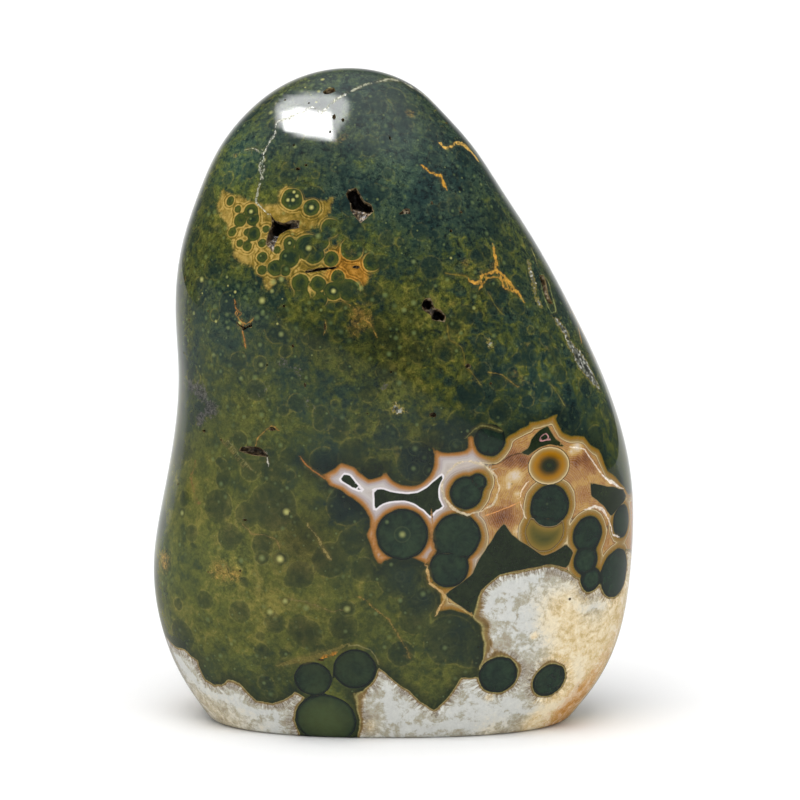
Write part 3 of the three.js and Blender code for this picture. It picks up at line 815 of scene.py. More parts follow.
veins = {  # line as pixels (in rearVeins mm round and up), colour on screen, half width in mm, how grainy
    "crown": ([(433, 103), (427, 97), (415, 89), (402, 81), (395, 80), (388, 79), (372, 83), (362, 86.5),
               (349, 92), (340, 98), (331, 104), (322, 112)], (158, 158, 132), 0.22, 1),
    "crownLeft": ([(302, 112), (290, 117), (277, 121), (275.6, 132), (268, 146), (262, 158), (265, 167),
                   (262, 176), (258.8, 190), (255.7, 201), (265, 211), (269, 214)],
                  (160, 160, 138), 0.17, 1),
    "crownFork": ([(246, 150), (254, 148), (261, 152), (266, 160)], (128, 128, 84), 0.12, 1),
    "crownLow": ([(262, 158), (259, 168), (263, 178)], (150, 150, 128), 0.14, 1),
    "crownHigh": ([(322, 112), (312, 107), (298, 113), (288, 121)], (150, 152, 136), 0.12, 1),
    "flame": ([(441, 143.4), (446, 148), (450, 147), (455, 142), (464, 144), (472, 152), (476.5, 158)],
              (222, 176, 84), 0.42, 0.6),
    "spark": ([(424, 167), (433.6, 174), (439.7, 176), (445, 187)], (206, 150, 50), 0.34, 0.6),
    "netLeft": ([(476, 283), (467, 277), (458, 275), (447, 274)], (124, 104, 42), 0.16, 0),
    "netDownward": ([(494, 248), (495.5, 256), (496.5, 263), (495, 269), (499, 272), (504, 276), (509, 283),
                     (513, 289), (517, 292), (522, 298)], (200, 148, 58), 0.52, 0.35),
    "netAcross": ([(495, 270), (488, 272.5), (482, 275), (480, 280), (477, 284), (471, 281)],
                  (198, 146, 60), 0.5, 0.35),
    "netArc": ([(481, 288), (483.5, 282), (487, 278), (493, 276.5), (499, 278), (502.5, 283), (503, 288),
                (507, 289), (512, 290)], (186, 138, 58), 0.28, 0.3),
    "netDown": ([(489, 294), (494, 304), (502, 314)], (112, 104, 44), 0.16, 0),
    "twinLine": ([(447, 326), (449, 340), (461, 348), (465, 363)], (110, 98, 40), 0.18, 0),
    "fissureTop": ([(531.8, 250), (535.3, 258), (537.6, 266)], (150, 148, 76), 0.12, 0.8),
    "streakHigh": ([(560, 287), (565, 299), (570, 311)], (206, 172, 116), 0.34, 0.3),
    "streakMiddle": ([(578, 327), (581, 340)], (176, 132, 58), 0.3, 0.3),
    "streakLow": ([(587, 338), (591, 350), (595, 361)], (180, 146, 84), 0.26, 0.3),
    "streak": ([(308, 524), (312, 530), (318, 538), (323, 548), (329, 558)], (138, 122, 68), 0.16, 0.8),
    "lowVein": ([(358, 597), (366, 601), (376, 609), (389, 620), (399, 636), (404, 645), (409, 657)],
                (132, 106, 48), 0.16, 0.7),
    "lowBow": ([(282, 599), (302, 600), (316, 607), (334, 612)], (104, 98, 48), 0.12, 0),
    "leftRust": ([(195, 462), (191.5, 480), (193, 490), (198, 503)], (118, 88, 44), 0.2, 0.5),
    "tickWhite": ([(267, 455), (267, 464)], (215, 210, 195), 0.2, 0),
    "arch": ([(256, 446), (258, 437), (265, 431), (272, 426), (277, 429)], (150, 112, 52), 0.12, 0.4),
    "orbRing": ([(469, 461), (484, 464), (495, 474), (499, 488), (494, 503), (482, 512), (467, 515),
                 (453, 509), (444, 498), (442, 485), (446, 473), (456, 464), (469, 461)],
                (206, 190, 158), 0.34, 0),
    "betweenOrbs": ([(433, 512), (432, 530), (433, 549), (427, 562)], (150, 108, 60), 0.3, 0),
    "rightArc": ([(586, 509), (595.3, 506), (602.4, 510), (607.6, 518), (610.6, 526.3), (612.7, 535.5),
                  (617.8, 537)], (236, 226, 212), 0.34, 0),
    "tail": ([(572, 447), (584, 450), (593, 461), (599.4, 471), (604.5, 477), (612.7, 483.5), (622.9, 488.6)],
             (238, 226, 206), 0.22, 0),
    "tailThick": ([(603, 475), (610, 481), (617, 486)], (240, 232, 222), 0.42, 0),
    "leftHook": ([(527, 482), (521, 491), (520.3, 504), (525, 517)], (232, 214, 184), 0.16, 0),
    "underTent": ([(487, 465), (500.4, 463), (510.6, 455), (520.8, 452)], (58, 42, 24), 0.16, 0),
    "fleshLine": ([(485, 515), (497, 511), (509, 507), (520, 502)], (222, 156, 92), 0.14, 0),
    "creamStrip": ([(427, 570), (430, 583), (439, 590), (444.7, 596), (441, 606), (437, 614)],
                   (196, 162, 104), 0.34, 0),
    "creamStripEnd": ([(444, 597), (454.6, 604), (464, 610), (472, 616)], (176, 156, 98), 0.2, 0),
    "webLeft": ([(466.7, 366.7), (477, 378.8), (480.5, 384)], (112, 98, 42), 0.16, 0),
    "webMiddle": ([(491, 373.6), (501.3, 374.5), (508, 378.8), (517, 385.7)], (134, 112, 52), 0.2, 0.2),
    "webRight": ([(551.6, 384), (560, 398), (563.7, 404.8)], (112, 108, 56), 0.16, 0),
    "rootEdge": ([(200, 503), (196, 497), (192, 484), (191, 474)], (136, 100, 54), 0.13, 0.4),
    "rootLeft": ([(222, 440), (232, 452), (242, 466)], (112, 96, 54), 0.12, 0.5),
    "rootRight": ([(228, 441), (240, 455), (252, 469)], (108, 104, 62), 0.12, 0.5),
    "agateRoot": ([(244, 524), (252, 534), (264, 535), (276, 539), (279, 548)], (122, 100, 52), 0.14, 0.3),
    "slitTop": ([(235, 302), (236, 309), (240, 313)], (176, 116, 50), 0.16, 0.4),
    "slitUnder": ([(236, 316), (241, 322), (246, 325), (253, 319)], (184, 132, 62), 0.14, 0.4),
    "slitStem": ([(243, 328), (243, 336), (245, 346)], (170, 112, 52), 0.16, 0.4),
    "slotTop": ([(325, 322), (325.5, 328), (324, 334)], (150, 122, 62), 0.12, 0.4),
    "rootCentre": ([(340, 300), (352, 306), (362, 318), (371, 324), (376, 336)], (140, 108, 44), 0.1, 0.8),
    "whorl": ([(283, 599), (291, 598), (303, 601), (318, 606), (332, 612), (341, 610)],
              (114, 96, 54), 0.13, 0.3),
    "agateTail": ([(301, 458), (307, 466), (315, 472), (325, 478)], (160, 102, 46), 0.2, 0),
    "tentMark": ([(541, 441), (538.5, 439), (542, 435), (547, 433.5), (551, 439), (541, 441)],
                 (206, 150, 150), 0.1, 0),
    "footStrip": ([(281, 664), (297, 661), (313, 657), (329, 653), (345, 645)], (104, 94, 44), 0.85, 0.1),
    "arcOver": ([(330, 652), (343, 646), (357, 645), (370, 650), (378, 662)], (126, 120, 72), 0.13, 0),
    "slitFoot": ([(321, 658), (329, 656), (337, 652)], (206, 132, 36), 0.3, 0.6),
    "slitLip": ([(540, 276), (543, 274), (548, 281), (551, 291), (554, 303), (556, 312), (552, 314),
                 (547, 304), (542, 291), (540, 276)], (140, 150, 92), 0.12, 0.6),
    "forkLow": ([(466, 436), (482, 425), (500, 430)], (110, 106, 60), 0.13, 0.3),
    "rearCrack": ([(70, 134), (74, 126), (82, 116), (81, 107), (88, 98), (87, 90), (93, 81)],
                  (150, 150, 115), 0.2, 1),
    "rearGold": ([(-116, 62), (-110, 58), (-106, 61), (-101, 55), (-99, 48)], (170, 130, 54), 0.3, 0.5),
    "rearGoldFork": ([(-110, 58), (-111, 52), (-107, 46)], (150, 122, 50), 0.2, 0.4),
    "sideGold": ([(72, 66), (75, 59), (73, 52), (78, 45)], (160, 126, 56), 0.25, 0.5),
}

rearVeins = ("rearCrack", "rearGold", "rearGoldFork", "sideGold")

tones = {  # pixel, radius in pixels, amount
    "olive": [  # olive (+) or teal (-)
        (300, 300, 50, 0.1), (400, 335, 60, 0.25), (330, 350, 50, 0.1), (230, 230, 40, 0.1),
        (240, 600, 80, 0.15), (330, 600, 60, 0.15), (200, 480, 50, 0.2), (290, 545, 40, 0.15),
        (440, 250, 40, -0.15), (470, 180, 60, -0.35), (560, 400, 50, -0.15), (400, 170, 50, -0.3),
        # the teal pull at (235, 150) goes with the painted reflection there in the shade list: a grey-blue
        # haze
        (350, 90, 60, -0.4), (440, 300, 50, 0.15), (235, 150, 40, -0.3), (330, 150, 40, -0.15),
        (230, 300, 40, -0.25), (350, 200, 25, -0.3), (500, 400, 40, -0.1), (440, 650, 40, -0.1),
        (190, 410, 30, -0.2), (215, 170, 24, 0.25), (280, 380, 40, -0.1), (540, 230, 40, 0.1),
        (346, 505, 22, -0.4), (323, 461, 12, -0.4), (417, 462, 18, -0.4), (400, 577, 20, -0.25),
        (421, 602, 14, -0.35), (386, 437, 12, -0.3), (218, 507, 16, -0.1), (268, 672, 30, -0.3),
        (571, 418, 14, -0.3), (400, 620, 50, 0.05), (540, 380, 26, 0.15), (326, 720, 26, 0.3)],
    # mostly the stone's own paler and darker patches, but some are painted reflection: paler at the top (330,
    # 90), (400, 150), the upper left (235, 160) and the right edge (604, 398), where the polish mirrors
    # light; darker in a band at (340, 335), (400, 345), (470, 372) and along (300, 540), (305, 548), (255,
    # 585), where it mirrors dark things
    "shade": [  # paler (+) or darker (-)
        (330, 480, 60, -0.05), (470, 330, 40, -0.05), (380, 340, 50, -0.15), (300, 540, 40, -0.15),
        (230, 570, 50, 0.12), (165, 560, 30, 0.4), (400, 170, 60, 0.25), (215, 340, 40, 0.2),
        (300, 395, 50, 0.15), (400, 408, 16, 0.3), (570, 330, 30, 0.1), (420, 430, 50, -0.2),
        (300, 345, 40, -0.15), (470, 250, 50, -0.1), (305, 548, 24, -0.15), (255, 585, 20, -0.1),
        (326, 720, 26, 1.2), (248, 662, 16, 0.3), (550, 506, 16, -0.25), (588, 534, 14, -0.2),
        (402, 534, 22, 0.15), (346, 505, 22, -0.25), (323, 461, 12, -0.3), (372, 470, 12, -0.3),
        (417, 462, 16, -0.3), (307, 634, 18, -0.2), (340, 642, 14, -0.25), (268, 672, 24, -0.2),
        (421, 602, 14, -0.2), (455, 640, 16, -0.15), (490, 440, 14, -0.2), (571, 418, 14, -0.25),
        (500, 410, 26, -0.2), (205, 575, 60, 0.1), (235, 160, 40, 0.95), (330, 90, 40, 0.3),
        (340, 335, 36, -0.15), (400, 345, 40, -0.3), (470, 372, 30, -0.1), (400, 150, 40, 0.2),
        (540, 380, 26, 0.35), (604, 398, 20, 0.5), (300, 540, 30, -0.25), (430, 620, 60, -0.02),
        (560, 240, 40, 0.1)],
    "ochre": [
        (165, 560, 16, 0.7), (220, 572, 18, 0.75), (238, 575, 10, 0.5), (245, 634, 11, 0.45),
        (245, 657, 9, 0.4), (395, 410, 12, 0.5), (355, 315, 12, 0.5), (360, 325, 16, 0.3),
        (240, 325, 8, 0.6), (345, 262, 26, 0.55), (408, 655, 8, 0.5), (195, 475, 10, 0.3),
        (205, 405, 10, 0.3), (590, 370, 12, 0.3), (222, 150, 18, 0.3), (205, 170, 16, 0.35),
        (467, 264, 10, 0.6), (520, 300, 14, 0.2), (333, 144, 9, 0.5), (352, 335, 10, 0.4),
        (368, 322, 9, 0.35), (345, 137, 7, 0.6), (235, 156, 7, 0.5), (410, 113, 8, 0.75),
        (495, 268, 9, 0.7), (482, 276, 8, 0.5), (506, 283, 9, 0.6), (452, 303, 10, 0.45),
        (372, 300, 18, 0.3), (350, 272, 16, 0.25), (300, 232, 20, 0.2), (510, 372, 12, 0.5),
        (525, 382, 12, 0.3), (458, 150, 14, 0.35), (528, 343, 8, 0.4), (548, 348, 7, 0.4)],
    "web": [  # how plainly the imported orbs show
        (500, 350, 60, 0.7), (560, 370, 40, 0.6), (440, 370, 40, 0.4), (300, 290, 40, 0.4),
        (360, 300, 40, 0.8), (450, 420, 50, 0.5), (470, 280, 50, 0.5), (560, 410, 40, 0.5),
        (330, 240, 70, 0.5)],
    "speckle": [
        (400, 170, 110, 0.5), (500, 250, 90, 0.5), (250, 150, 70, 0.4), (230, 300, 60, 0.3),
        (370, 400, 60, 0.5), (230, 570, 30, 0.5), (460, 330, 60, 0.4)],
    "dotty": [
        (230, 290, 70, 1.3), (320, 80, 50, 1.0), (260, 140, 50, 0.5), (390, 170, 60, 0.4),
        (470, 200, 60, 0.4), (300, 330, 40, 0.5), (400, 280, 60, 0.4), (500, 340, 50, 0.3),
        (350, 440, 50, 0.2)],
    "soot": [(200, 392, 10, 0.9), (211, 408, 12, 0.9), (190, 386, 8, 0.8), (200, 420, 8, 0.9),
             (184, 405, 5, 0.6), (300, 372, 14, 0.35), (262, 392, 12, 0.35), (310, 404, 14, 0.4),
             (383, 384, 8, 0.5), (283, 364, 10, 0.4)],
    "flush": [  # red-brown (+) or cream (-) in the agate
        (510, 459, 9, 0.8), (523, 461, 6, 0.7), (515, 476, 7, -1.0), (509, 486, 2.5, -1.0),
        (517, 494, 3.5, -0.8), (503, 486, 7, -0.25), (506, 515, 10, 0.5), (519, 531, 5, -1.0),
        (526, 541, 4, -0.9), (497, 520, 8, 0.4), (577, 447, 6, -1.0), (571, 452, 3, -0.8),
        (577, 462, 6, 0.7), (586, 459, 7, 0.7), (592, 468, 6, 0.3), (584, 497, 7, 0.25),
        (610, 480, 5, -0.8), (534, 636, 3, 0.6), (500, 440, 8, -0.4), (447, 464, 9, -0.5),
        (457, 470, 6, 0.1)],
    "gold": [  # where the agate's bands are gold
        (450, 598, 26, 1.0), (480, 606, 16, 1.0), (437, 575, 9, 0.6), (486, 580, 16, 0.7),
        (470, 495, 22, 1.2)],
    "warm": [  # amber in the quartz
        (608, 655, 36, 1.0), (592, 700, 36, 0.9), (622, 610, 32, 0.9), (575, 725, 32, 0.9),
        (535, 729, 24, 0.8), (578, 640, 26, 0.55), (566, 605, 22, 0.6), (560, 665, 14, 0.3),
        (355, 697, 8, 1.0), (368, 727, 12, 0.5), (549, 681, 22, 0.4), (572, 702, 10, 0.8),
        (560, 665, 10, 0.5), (534, 636, 3, 1.2), (560, 722, 20, 0.8), (600, 716, 18, 0.5),
        (440, 690, 8, 0.3), (490, 731, 20, 0.35), (489, 697, 6, 0.6), (545, 622, 14, 0.25),
        (556, 640, 26, 0.4), (540, 600, 18, 0.25), (200, 700, 30, 0.3), (235, 726, 40, 0.35)],
    "frost": [  # white in the quartz, bare grey where less
        (512, 600, 22, 0.6), (530, 622, 22, 0.5), (548, 645, 16, 0.3), (510, 705, 16, 0.5),
        (240, 705, 26, 0.2), (400, 700, 22, 0.5), (470, 706, 26, 0.6), (525, 600, 7, -0.7),
        (515, 608, 5, -0.5), (492, 625, 7, -0.5), (500, 645, 9, -0.5), (375, 716, 9, -0.6),
        (520, 675, 12, -0.5), (352, 712, 8, -0.5), (555, 640, 16, 0.2)],
    "rim": [  # where the quartz meets the green in a broad brown band
        (482, 612, 12, 1.0), (485, 628, 10, 1.0), (489, 645, 10, 1.0), (501, 652, 8, 0.5), (519, 668, 7, 0.5),
        (358, 700, 12, 1.0), (352, 722, 12, 0.7), (549, 661, 10, 0.4), (236, 684, 30, 0.1)],
}

dots = {
    "seen": [  # pixel, radius in mm, brightness
        (210, 282, 0.5, 0.5), (218.5, 282, 0.4, 0.5), (238, 286, 0.5, 0.5), (245, 297, 0.4, 0.6),
        (262, 300.6, 0.6, 0.9), (215, 307, 0.5, 0.5), (213, 316, 0.4, 0.5), (206, 318, 0.4, 0.5),
        (203, 330, 0.4, 0.5), (262.5, 313, 0.5, 0.6), (267, 317, 0.4, 0.5), (286.5, 512, 0.65, 0.9),
        (262, 558, 0.6, 0.7), (280, 559, 0.7, 1.0), (306, 608, 0.6, 0.6), (347, 609, 0.6, 0.8),
        (285, 601, 0.5, 0.8), (270, 612, 0.6, 0.8), (264, 683, 0.4, 0.6), (402.3, 534.5, 0.6, 0.8),
        (387, 522, 0.4, 0.6), (251, 211.5, 0.4, 1.0), (294, 192, 0.3, 1.0), (297, 196, 0.35, 1.0),
        (293, 200, 0.35, 1.0), (288, 200, 0.35, 1.0), (311.5, 207.4, 0.45, 1.0), (289.5, 243, 0.3, 0.9),
        (308.6, 248, 0.5, 0.9), (318, 236, 0.5, 0.7), (333.5, 291, 0.45, 1.0), (273, 282, 0.6, 0.8),
        (272, 291, 0.4, 0.8), (321, 310, 0.3, 0.7), (385, 295, 0.5, 0.6), (404, 310, 0.5, 0.7),
        (389, 354, 0.5, 0.6), (182, 513, 0.5, 0.8), (315, 75, 0.4, 0.6), (312, 85, 0.5, 0.6),
        (302, 91, 0.5, 0.6), (290, 90, 0.4, 0.5), (547, 504, 0.3, 0.2), (474, 308, 0.35, 0.8),
        (461, 333, 0.4, 0.6), (451, 258, 0.25, 0.9), (491, 345, 0.3, 0.8), (562, 345, 0.35, 0.7),
        (577, 388, 0.35, 0.6)],
    "scatter": 3000,
    "triesEach": 4,
    "heights": (3, 149),
    "gap": 1.15,
    "seed": 11,
}

goldenOrb = {"pixel": (549.4, 465.6), "squeeze": (0.82, 0.82, 1)}


# ---- the fields: what the skin is at each vertex

def outlineDistance(flat, corners):
    # mm to a closed outline, positive inside, and the way to here from the nearest point of it
    nearest = np.full(len(flat), 1e9)
    way = np.zeros((len(flat), 2))
    inside = np.zeros(len(flat), bool)
    for start, end in zip(corners, np.roll(corners, -1, 0)):
        along = end - start
        share = np.clip((flat - start) @ along / max(along @ along, 1e-9), 0, 1)
        away = flat - start - share[:, None] * along
        distance = np.linalg.norm(away, axis=1)
        closer = distance < nearest
        nearest[closer] = distance[closer]
        way[closer] = away[closer]
        if start[1] != end[1]:
            level = (start[1] > flat[:, 1]) != (end[1] > flat[:, 1])
            inside ^= level & (flat[:, 0] < start[0] + (flat[:, 1] - start[1]) / along[1] * along[0])
    return np.where(inside, nearest, -nearest), way


def lineDistance(flat, corners):
    # mm to an open line, signed by side, and unsigned
    best = np.full(len(flat), 1e9)
    signed, plain = best.copy(), best.copy()
    for start, end in zip(corners[:-1], corners[1:]):
        along = end - start
        share = np.clip((flat - start) @ along / max(along @ along, 1e-9), 0, 1)
        away = flat - start - share[:, None] * along
        distance = np.linalg.norm(away, axis=1)
        across = along[0] * (flat[:, 1] - start[1]) - along[1] * (flat[:, 0] - start[0])
        lateral = across / np.linalg.norm(along)
        score = distance - 1e-3 * np.abs(lateral)  # at a corner, the stretch that it lies beside
        closer = score < best
        best = np.where(closer, score, best)
        signed = np.where(closer, np.sign(lateral) * distance, signed)
        plain = np.where(closer, distance, plain)
    return signed, plain


footPixel = 740  # below the foot in the picture
underFoot = -20  # mm up the skin for what lies below it


def seenOutline(name):
    corners = skin.seenFlat(windows[name])
    corners[[py > footPixel for px, py in windows[name]], 1] = underFoot
    return corners


def flatOutline(name, farSide=(), under=()):
    # an outline given as pixels, then mm on from its last pixel, then pixels again
    corners = seenOutline(name)
    if farSide:
        corners = np.vstack([corners, corners[-1] + np.array(windows[farSide], float)])
    if under:
        corners = np.vstack([corners, seenOutline(under)])
    return corners


def nearestBall(points, balls):
    # mm outside the nearest ball, negative inside one; which it is; how much further the next one is
    nearest = np.full(len(points), 1e9)
    second = nearest.copy()
    which = np.zeros(len(points), int)
    for i, (centre, radius) in enumerate(balls):
        distance = np.linalg.norm(points - centre, axis=1) - radius
        which[distance < nearest] = i
        second = np.minimum(second, np.maximum(nearest, distance))
        nearest = np.minimum(nearest, distance)
    return nearest, which, second - nearest


pixelsPerMm = 4.45  # on the best face


def seenBalls(name):
    return [(skin.seen(px, py), radius / pixelsPerMm) for px, py, radius in orbs[name]]


def rearBalls(name):
    return [(skin.at((around, climb)), radius) for around, climb, radius in orbs[name]]


def scatteredBalls(scatter):
    chance = random.Random(scatter["seed"])
    balls = []
    low, high = scatter["radius"]
    for i in range(scatter["count"]):
        turn, z = chance.uniform(*scatter["turns"]), chance.uniform(*scatter["heights"])
        radius = low + (high - low) * chance.random() ** 1.6
        balls.append((surface.points(np.array(turn), np.array(z)), radius))
    return balls


def toneField(points, name, base=0):
    total = base + 0 * points[:, 0]
    for px, py, radius, amount in tones[name]:
        reach = radius / pixelsPerMm
        away = np.linalg.norm(points - skin.seen(px, py), axis=1)
        total = total + amount * np.exp(-(away / reach) ** 2)
    return total


def step(values, low, high):
    share = np.clip((values - low) / (high - low), 0, 1)
    return share * share * (3 - 2 * share)


def write(mesh, name, kind, domain, values):
    made = mesh.attributes.new(name, kind, domain)
    made.data.foreach_set({"FLOAT": "value", "FLOAT_VECTOR": "vector", "FLOAT_COLOR": "color"}[kind],
                          np.asarray(values, np.float32).ravel())


def rubbed(points, wave, size):
    return np.array([noise.noise_vector(Vector(point) / wave)[:] for point in points.tolist()]) * size


def wavesAt(points, wave, shift=0):
    return np.array([noise.noise(Vector(point) / wave + Vector((0, shift, 0))) for point in points.tolist()])


footRound = {"from": 58, "whole": 70, "height": 13, "under": -8}  # mm round from the middle, mm up


def footBand(points, around, climb):
    # the quartz foot goes on round the sides and the back, with a wavy top
    farBack = step(np.abs(around), footRound["from"], footRound["whole"])
    waves = wavesAt(points, 17) * 9 + wavesAt(points, 6) * 3
    return farBack * (footRound["height"] + waves) + footRound["under"] * (1 - farBack) - climb


def onSkin(outs, way):
    # a way given as mm round and up, as a direction in space
    right = np.cross((0, 0, 1), outs)
    right /= np.maximum(np.linalg.norm(right, axis=1, keepdims=True), 1e-6)
    return right * way[:, :1] + np.cross(outs, right) * way[:, 1:]


def bandField(points, flat, name):
    # mm inside a band with wavy edges on the back
    line, width = rearBands[name]
    waves = wavesAt(points, 9) * 0.6 + wavesAt(points, 3.5) * 0.3
    return width * (1 + waves) - lineDistance(flat, np.array(line, float))[1]


def windowFields(points, outs, flat, bent, shaken, rear):
    foot = footBand(points, flat[:, 0], flat[:, 1])
    left, leftWay = outlineDistance(bent, flatOutline("quartzLeft", "quartzLeftFarSide"))
    right, rightWay = outlineDistance(bent, flatOutline("quartz", "quartzFarSide"))
    middle, middleWay = outlineDistance(bent, flatOutline("quartzMiddle"))
    quartz = np.maximum.reduce([left, right, middle, foot])
    agate = np.maximum.reduce([
        outlineDistance(bent, flatOutline("agate", "agateFarSide", "agateUnder"))[0], rear, left, foot])
    balls = seenBalls("seen") + rearBalls("rear")
    outside, which, gap = nearestBall(shaken, balls)
    centres = np.array([centre for centre, radius in balls])[which]
    radii = np.array([radius for centre, radius in balls])[which][:, None]
    quiet = nearestBall(shaken, seenBalls("quiet"))[0]
    green = np.minimum(agate, np.minimum(outside, quiet))

    # from the nearest edge of the quartz to here
    footWay = np.stack([0 * foot, -foot], -1)
    edge = np.argmax([left, right, middle, foot], axis=0)
    way = np.choose(edge[:, None], [leftWay, rightWay, middleWay, footWay])
    way = onSkin(outs, way)
    reach = np.maximum(np.linalg.norm(points - centres, axis=1)[:, None], 0.1)
    fromBall = (points - centres) * (1 - radii / reach)
    way = np.where((outside < quartz)[:, None], fromBall, way)
    lobe, over = [nearestBall(shaken, seenBalls(name))[0] for name in ("pale", "overPale")]
    fields = {"green": green, "quartz": np.minimum(quartz, green), "orb": -outside, "orbGap": gap,
              "pale": np.minimum(-lobe, over)}
    return fields, {"heart": (shaken - centres) / radii, "quartzWay": np.clip(way, -8, 8)}


def fillFields(bent, green, rear):
    def deepest(outlines):
        corners = [skin.seenFlat(outline) for outline in outlines.values()]
        return np.maximum.reduce([outlineDistance(bent, outline)[0] for outline in corners])
    core = np.minimum(rear - 4.6, green - 1.6)  # the dark middle of the bands on the back
    return {"dark": np.minimum(np.maximum(deepest(darkFields), core), green + 0.15),
            "deep": np.minimum(deepest(deepFields), green + 0.3), "seam": deepest(seams)}


def veinFields(mesh, bent):
    nearest = np.full(len(bent), 1e9)
    side, grain = nearest.copy(), 0 * nearest
    ink = np.zeros((len(bent), 4))
    for name, (line, shade, width, grainy) in veins.items():
        corners = np.array(line, float) if name in rearVeins else skin.seenFlat(line)
        signed, plain = lineDistance(bent, corners)
        closer = plain - width < nearest
        nearest = np.where(closer, plain - width, nearest)
        side = np.where(closer, signed, side)
        grain[closer] = grainy
        ink[closer] = tint(*shade)[:3] + (width,)
    write(mesh, "vein", "FLOAT", "POINT", np.clip(side, -4, 4))
    write(mesh, "veinNear", "FLOAT", "POINT", np.clip(nearest, -1, 4))
    write(mesh, "veinGrain", "FLOAT", "POINT", grain)
    write(mesh, "veinInk", "FLOAT_COLOR", "POINT", ink)


rearDrift = {  # tones that wander on the back: where in the noise, and how far
    "olive": (3, 0.9),
    "web": (7, 1.6),
    "ochreTone": (11, 0.9),
    "shadeTone": (17, 0.5),
    "warm": (23, 1.5),
}


def patternFields(mesh):
    points = np.array([vertex.co[:] for vertex in mesh.vertices]) / mm
    outs = np.array([vertex.normal[:] for vertex in mesh.vertices])
    flat = skin.unroll(points)
    rough = rubbed(points, 3.5, 0.35) + rubbed(points, 1.4, 0.12)
    bent = flat + rough[:, :2]
    shaken = points + rubbed(points, 2.2, 0.22)
    around, climb = flat[:, 0], flat[:, 1]

    rear = np.maximum(bandField(points, flat, "agate"), bandField(points, flat, "agateOn"))
    fields, ways = windowFields(points, outs, flat, bent, shaken, rear)
    fields.update(fillFields(bent, fields["green"], rear))
    fields["patch"] = np.maximum.reduce([
        outlineDistance(bent, flatOutline("ochre"))[0], bandField(points, flat, "ochre")])
    fields["bead"], _, fields["beadGap"] = nearestBall(shaken, seenBalls("ochre") + rearBalls("ochreRear"))
    fields["faint"], _, fields["faintGap"] = nearestBall(
        shaken, seenBalls("faint") + sum([scatteredBalls(scatter) for scatter in orbs["faintScattered"]], []))
    fields["pit"] = np.maximum(0, skin.depths(points))
    fields["zone"] = np.clip(step(around, 16, 21) + toneField(points, "gold"), 0, 1)
    lowDown = step(-climb, -105, -50)
    fields["olive"] = toneField(points, "olive", 0.42 + 0.2 * lowDown - 0.1 * points[:, 0] / 50)
    fields["speckle"] = toneField(points, "speckle", 0.1 + 0.45 * step(climb, 55, 105))
    fields["warm"] = toneField(points, "warm", 0.3 * step(around, 30, 60))
    roundSide = step(np.abs(around), 55, 70)
    fields["web"] = toneField(points, "web", 0.5 * roundSide)
    fields["dotty"] = toneField(points, "dotty", 0.4 * roundSide)
    for name in ("ochre", "shade", "soot", "flush", "frost", "rim"):
        fields[name + "Tone"] = toneField(points, name)
    farSide = step(np.abs(around), 50, 72)
    for name, (shift, amount) in rearDrift.items():
        fields[name] = fields[name] + amount * (farSide * wavesAt(points, 19, shift))
    for line, width in foams.values():
        away = lineDistance(bent, skin.seenFlat(line))[1]
        fields["frostTone"] = fields["frostTone"] + np.exp(-(away / width) ** 2)
    for name, values in fields.items():
        write(mesh, name, "FLOAT", "POINT", values)
    for name, values in ways.items():
        write(mesh, name, "FLOAT_VECTOR", "POINT", values)
    veinFields(mesh, bent)


patternFields(stoneMesh)
print("fields written")


def scatterDots(specks):
    # pale specks: those read off the best face, then a seeded scatter that thickens in patches
    chance = np.random.default_rng(specks["seed"])
    held = np.array([skin.seen(px, py) for px, py, radius, bright in specks["seen"]])
    inks = [(radius, bright) for px, py, radius, bright in specks["seen"]]
    tries = specks["scatter"] * specks["triesEach"]
    turns = chance.uniform(-math.pi, math.pi, tries)
    spots = surface.points(turns, chance.uniform(*specks["heights"], tries))
    crowds = toneField(spots, "dotty")
    draws = chance.random((tries, 3))
    inOrb = nearestBall(spots, seenBalls("seen") + rearBalls("rear"))[0] < 0.2
    for spot, crowd, draw, hidden in zip(spots, crowds, draws, inOrb):
        likely = 0.4 + 0.9 * noise.noise(Vector(spot) / 14) + 0.4 * crowd
        if hidden or draw[0] > likely or np.min(np.sum((held - spot) ** 2, axis=1)) < specks["gap"] ** 2:
            continue
        held = np.vstack([held, spot])
        inks.append((0.18 + 0.38 * draw[1] ** 2, 0.14 + (0.45 + 0.4 * crowd) * draw[2] ** 2))
        if len(held) > specks["scatter"]:
            break
    return held, inks


def dotFields(mesh):
    places, inks = scatterDots(dots)
    tree = KDTree(len(places))
    for i, place in enumerate(places):
        tree.insert(place, i)
    tree.balance()
    middles = [polygon.center / mm for polygon in mesh.polygons]
    nearest = [tree.find(middle)[1] for middle in middles]
    write(mesh, "dot", "FLOAT_VECTOR", "FACE", places[nearest])
    write(mesh, "dotInk", "FLOAT_VECTOR", "FACE", [(*inks[i], 0) for i in nearest])


dotFields(stoneMesh)
print("dots placed")


# ---- the polished surface: here g is a material's graph, n its noises and field what the skin is

pointFields = (
    "green", "quartz", "orb", "pale", "dark", "deep", "seam", "patch", "bead", "pit", "zone", "olive",
    "speckle", "warm", "web", "dotty", "ochreTone", "shadeTone", "sootTone", "flushTone", "frostTone",
    "rimTone", "faint", "orbGap", "beadGap", "faintGap", "vein", "veinNear", "veinGrain")


def surfaceNoises(g, place):
    n = {"large": g.noise(place, 0.05, 3) - 0.5,
         "middle": g.noise(place, 0.24, 5, 0.6, 0.6) - 0.5,
         "fine": g.noise(place, 1.1, 4, 0.7, 0.3) - 0.5,
         "grit": g.noise(place, 3.0, 3, 0.75) - 0.5}
    drift = g.noise(place, 0.45, 3, 0.55, 0, output=1)
    n["drift"] = g.vector("ADD", place, g.vector("SCALE", drift, scale=1.7))
    n["wave"] = g.noise(n["drift"], 0.34, 5, 0.55, 1.6) - 0.5
    n["crystal"] = g.cellChance(place, 1.9, 1)
    return n


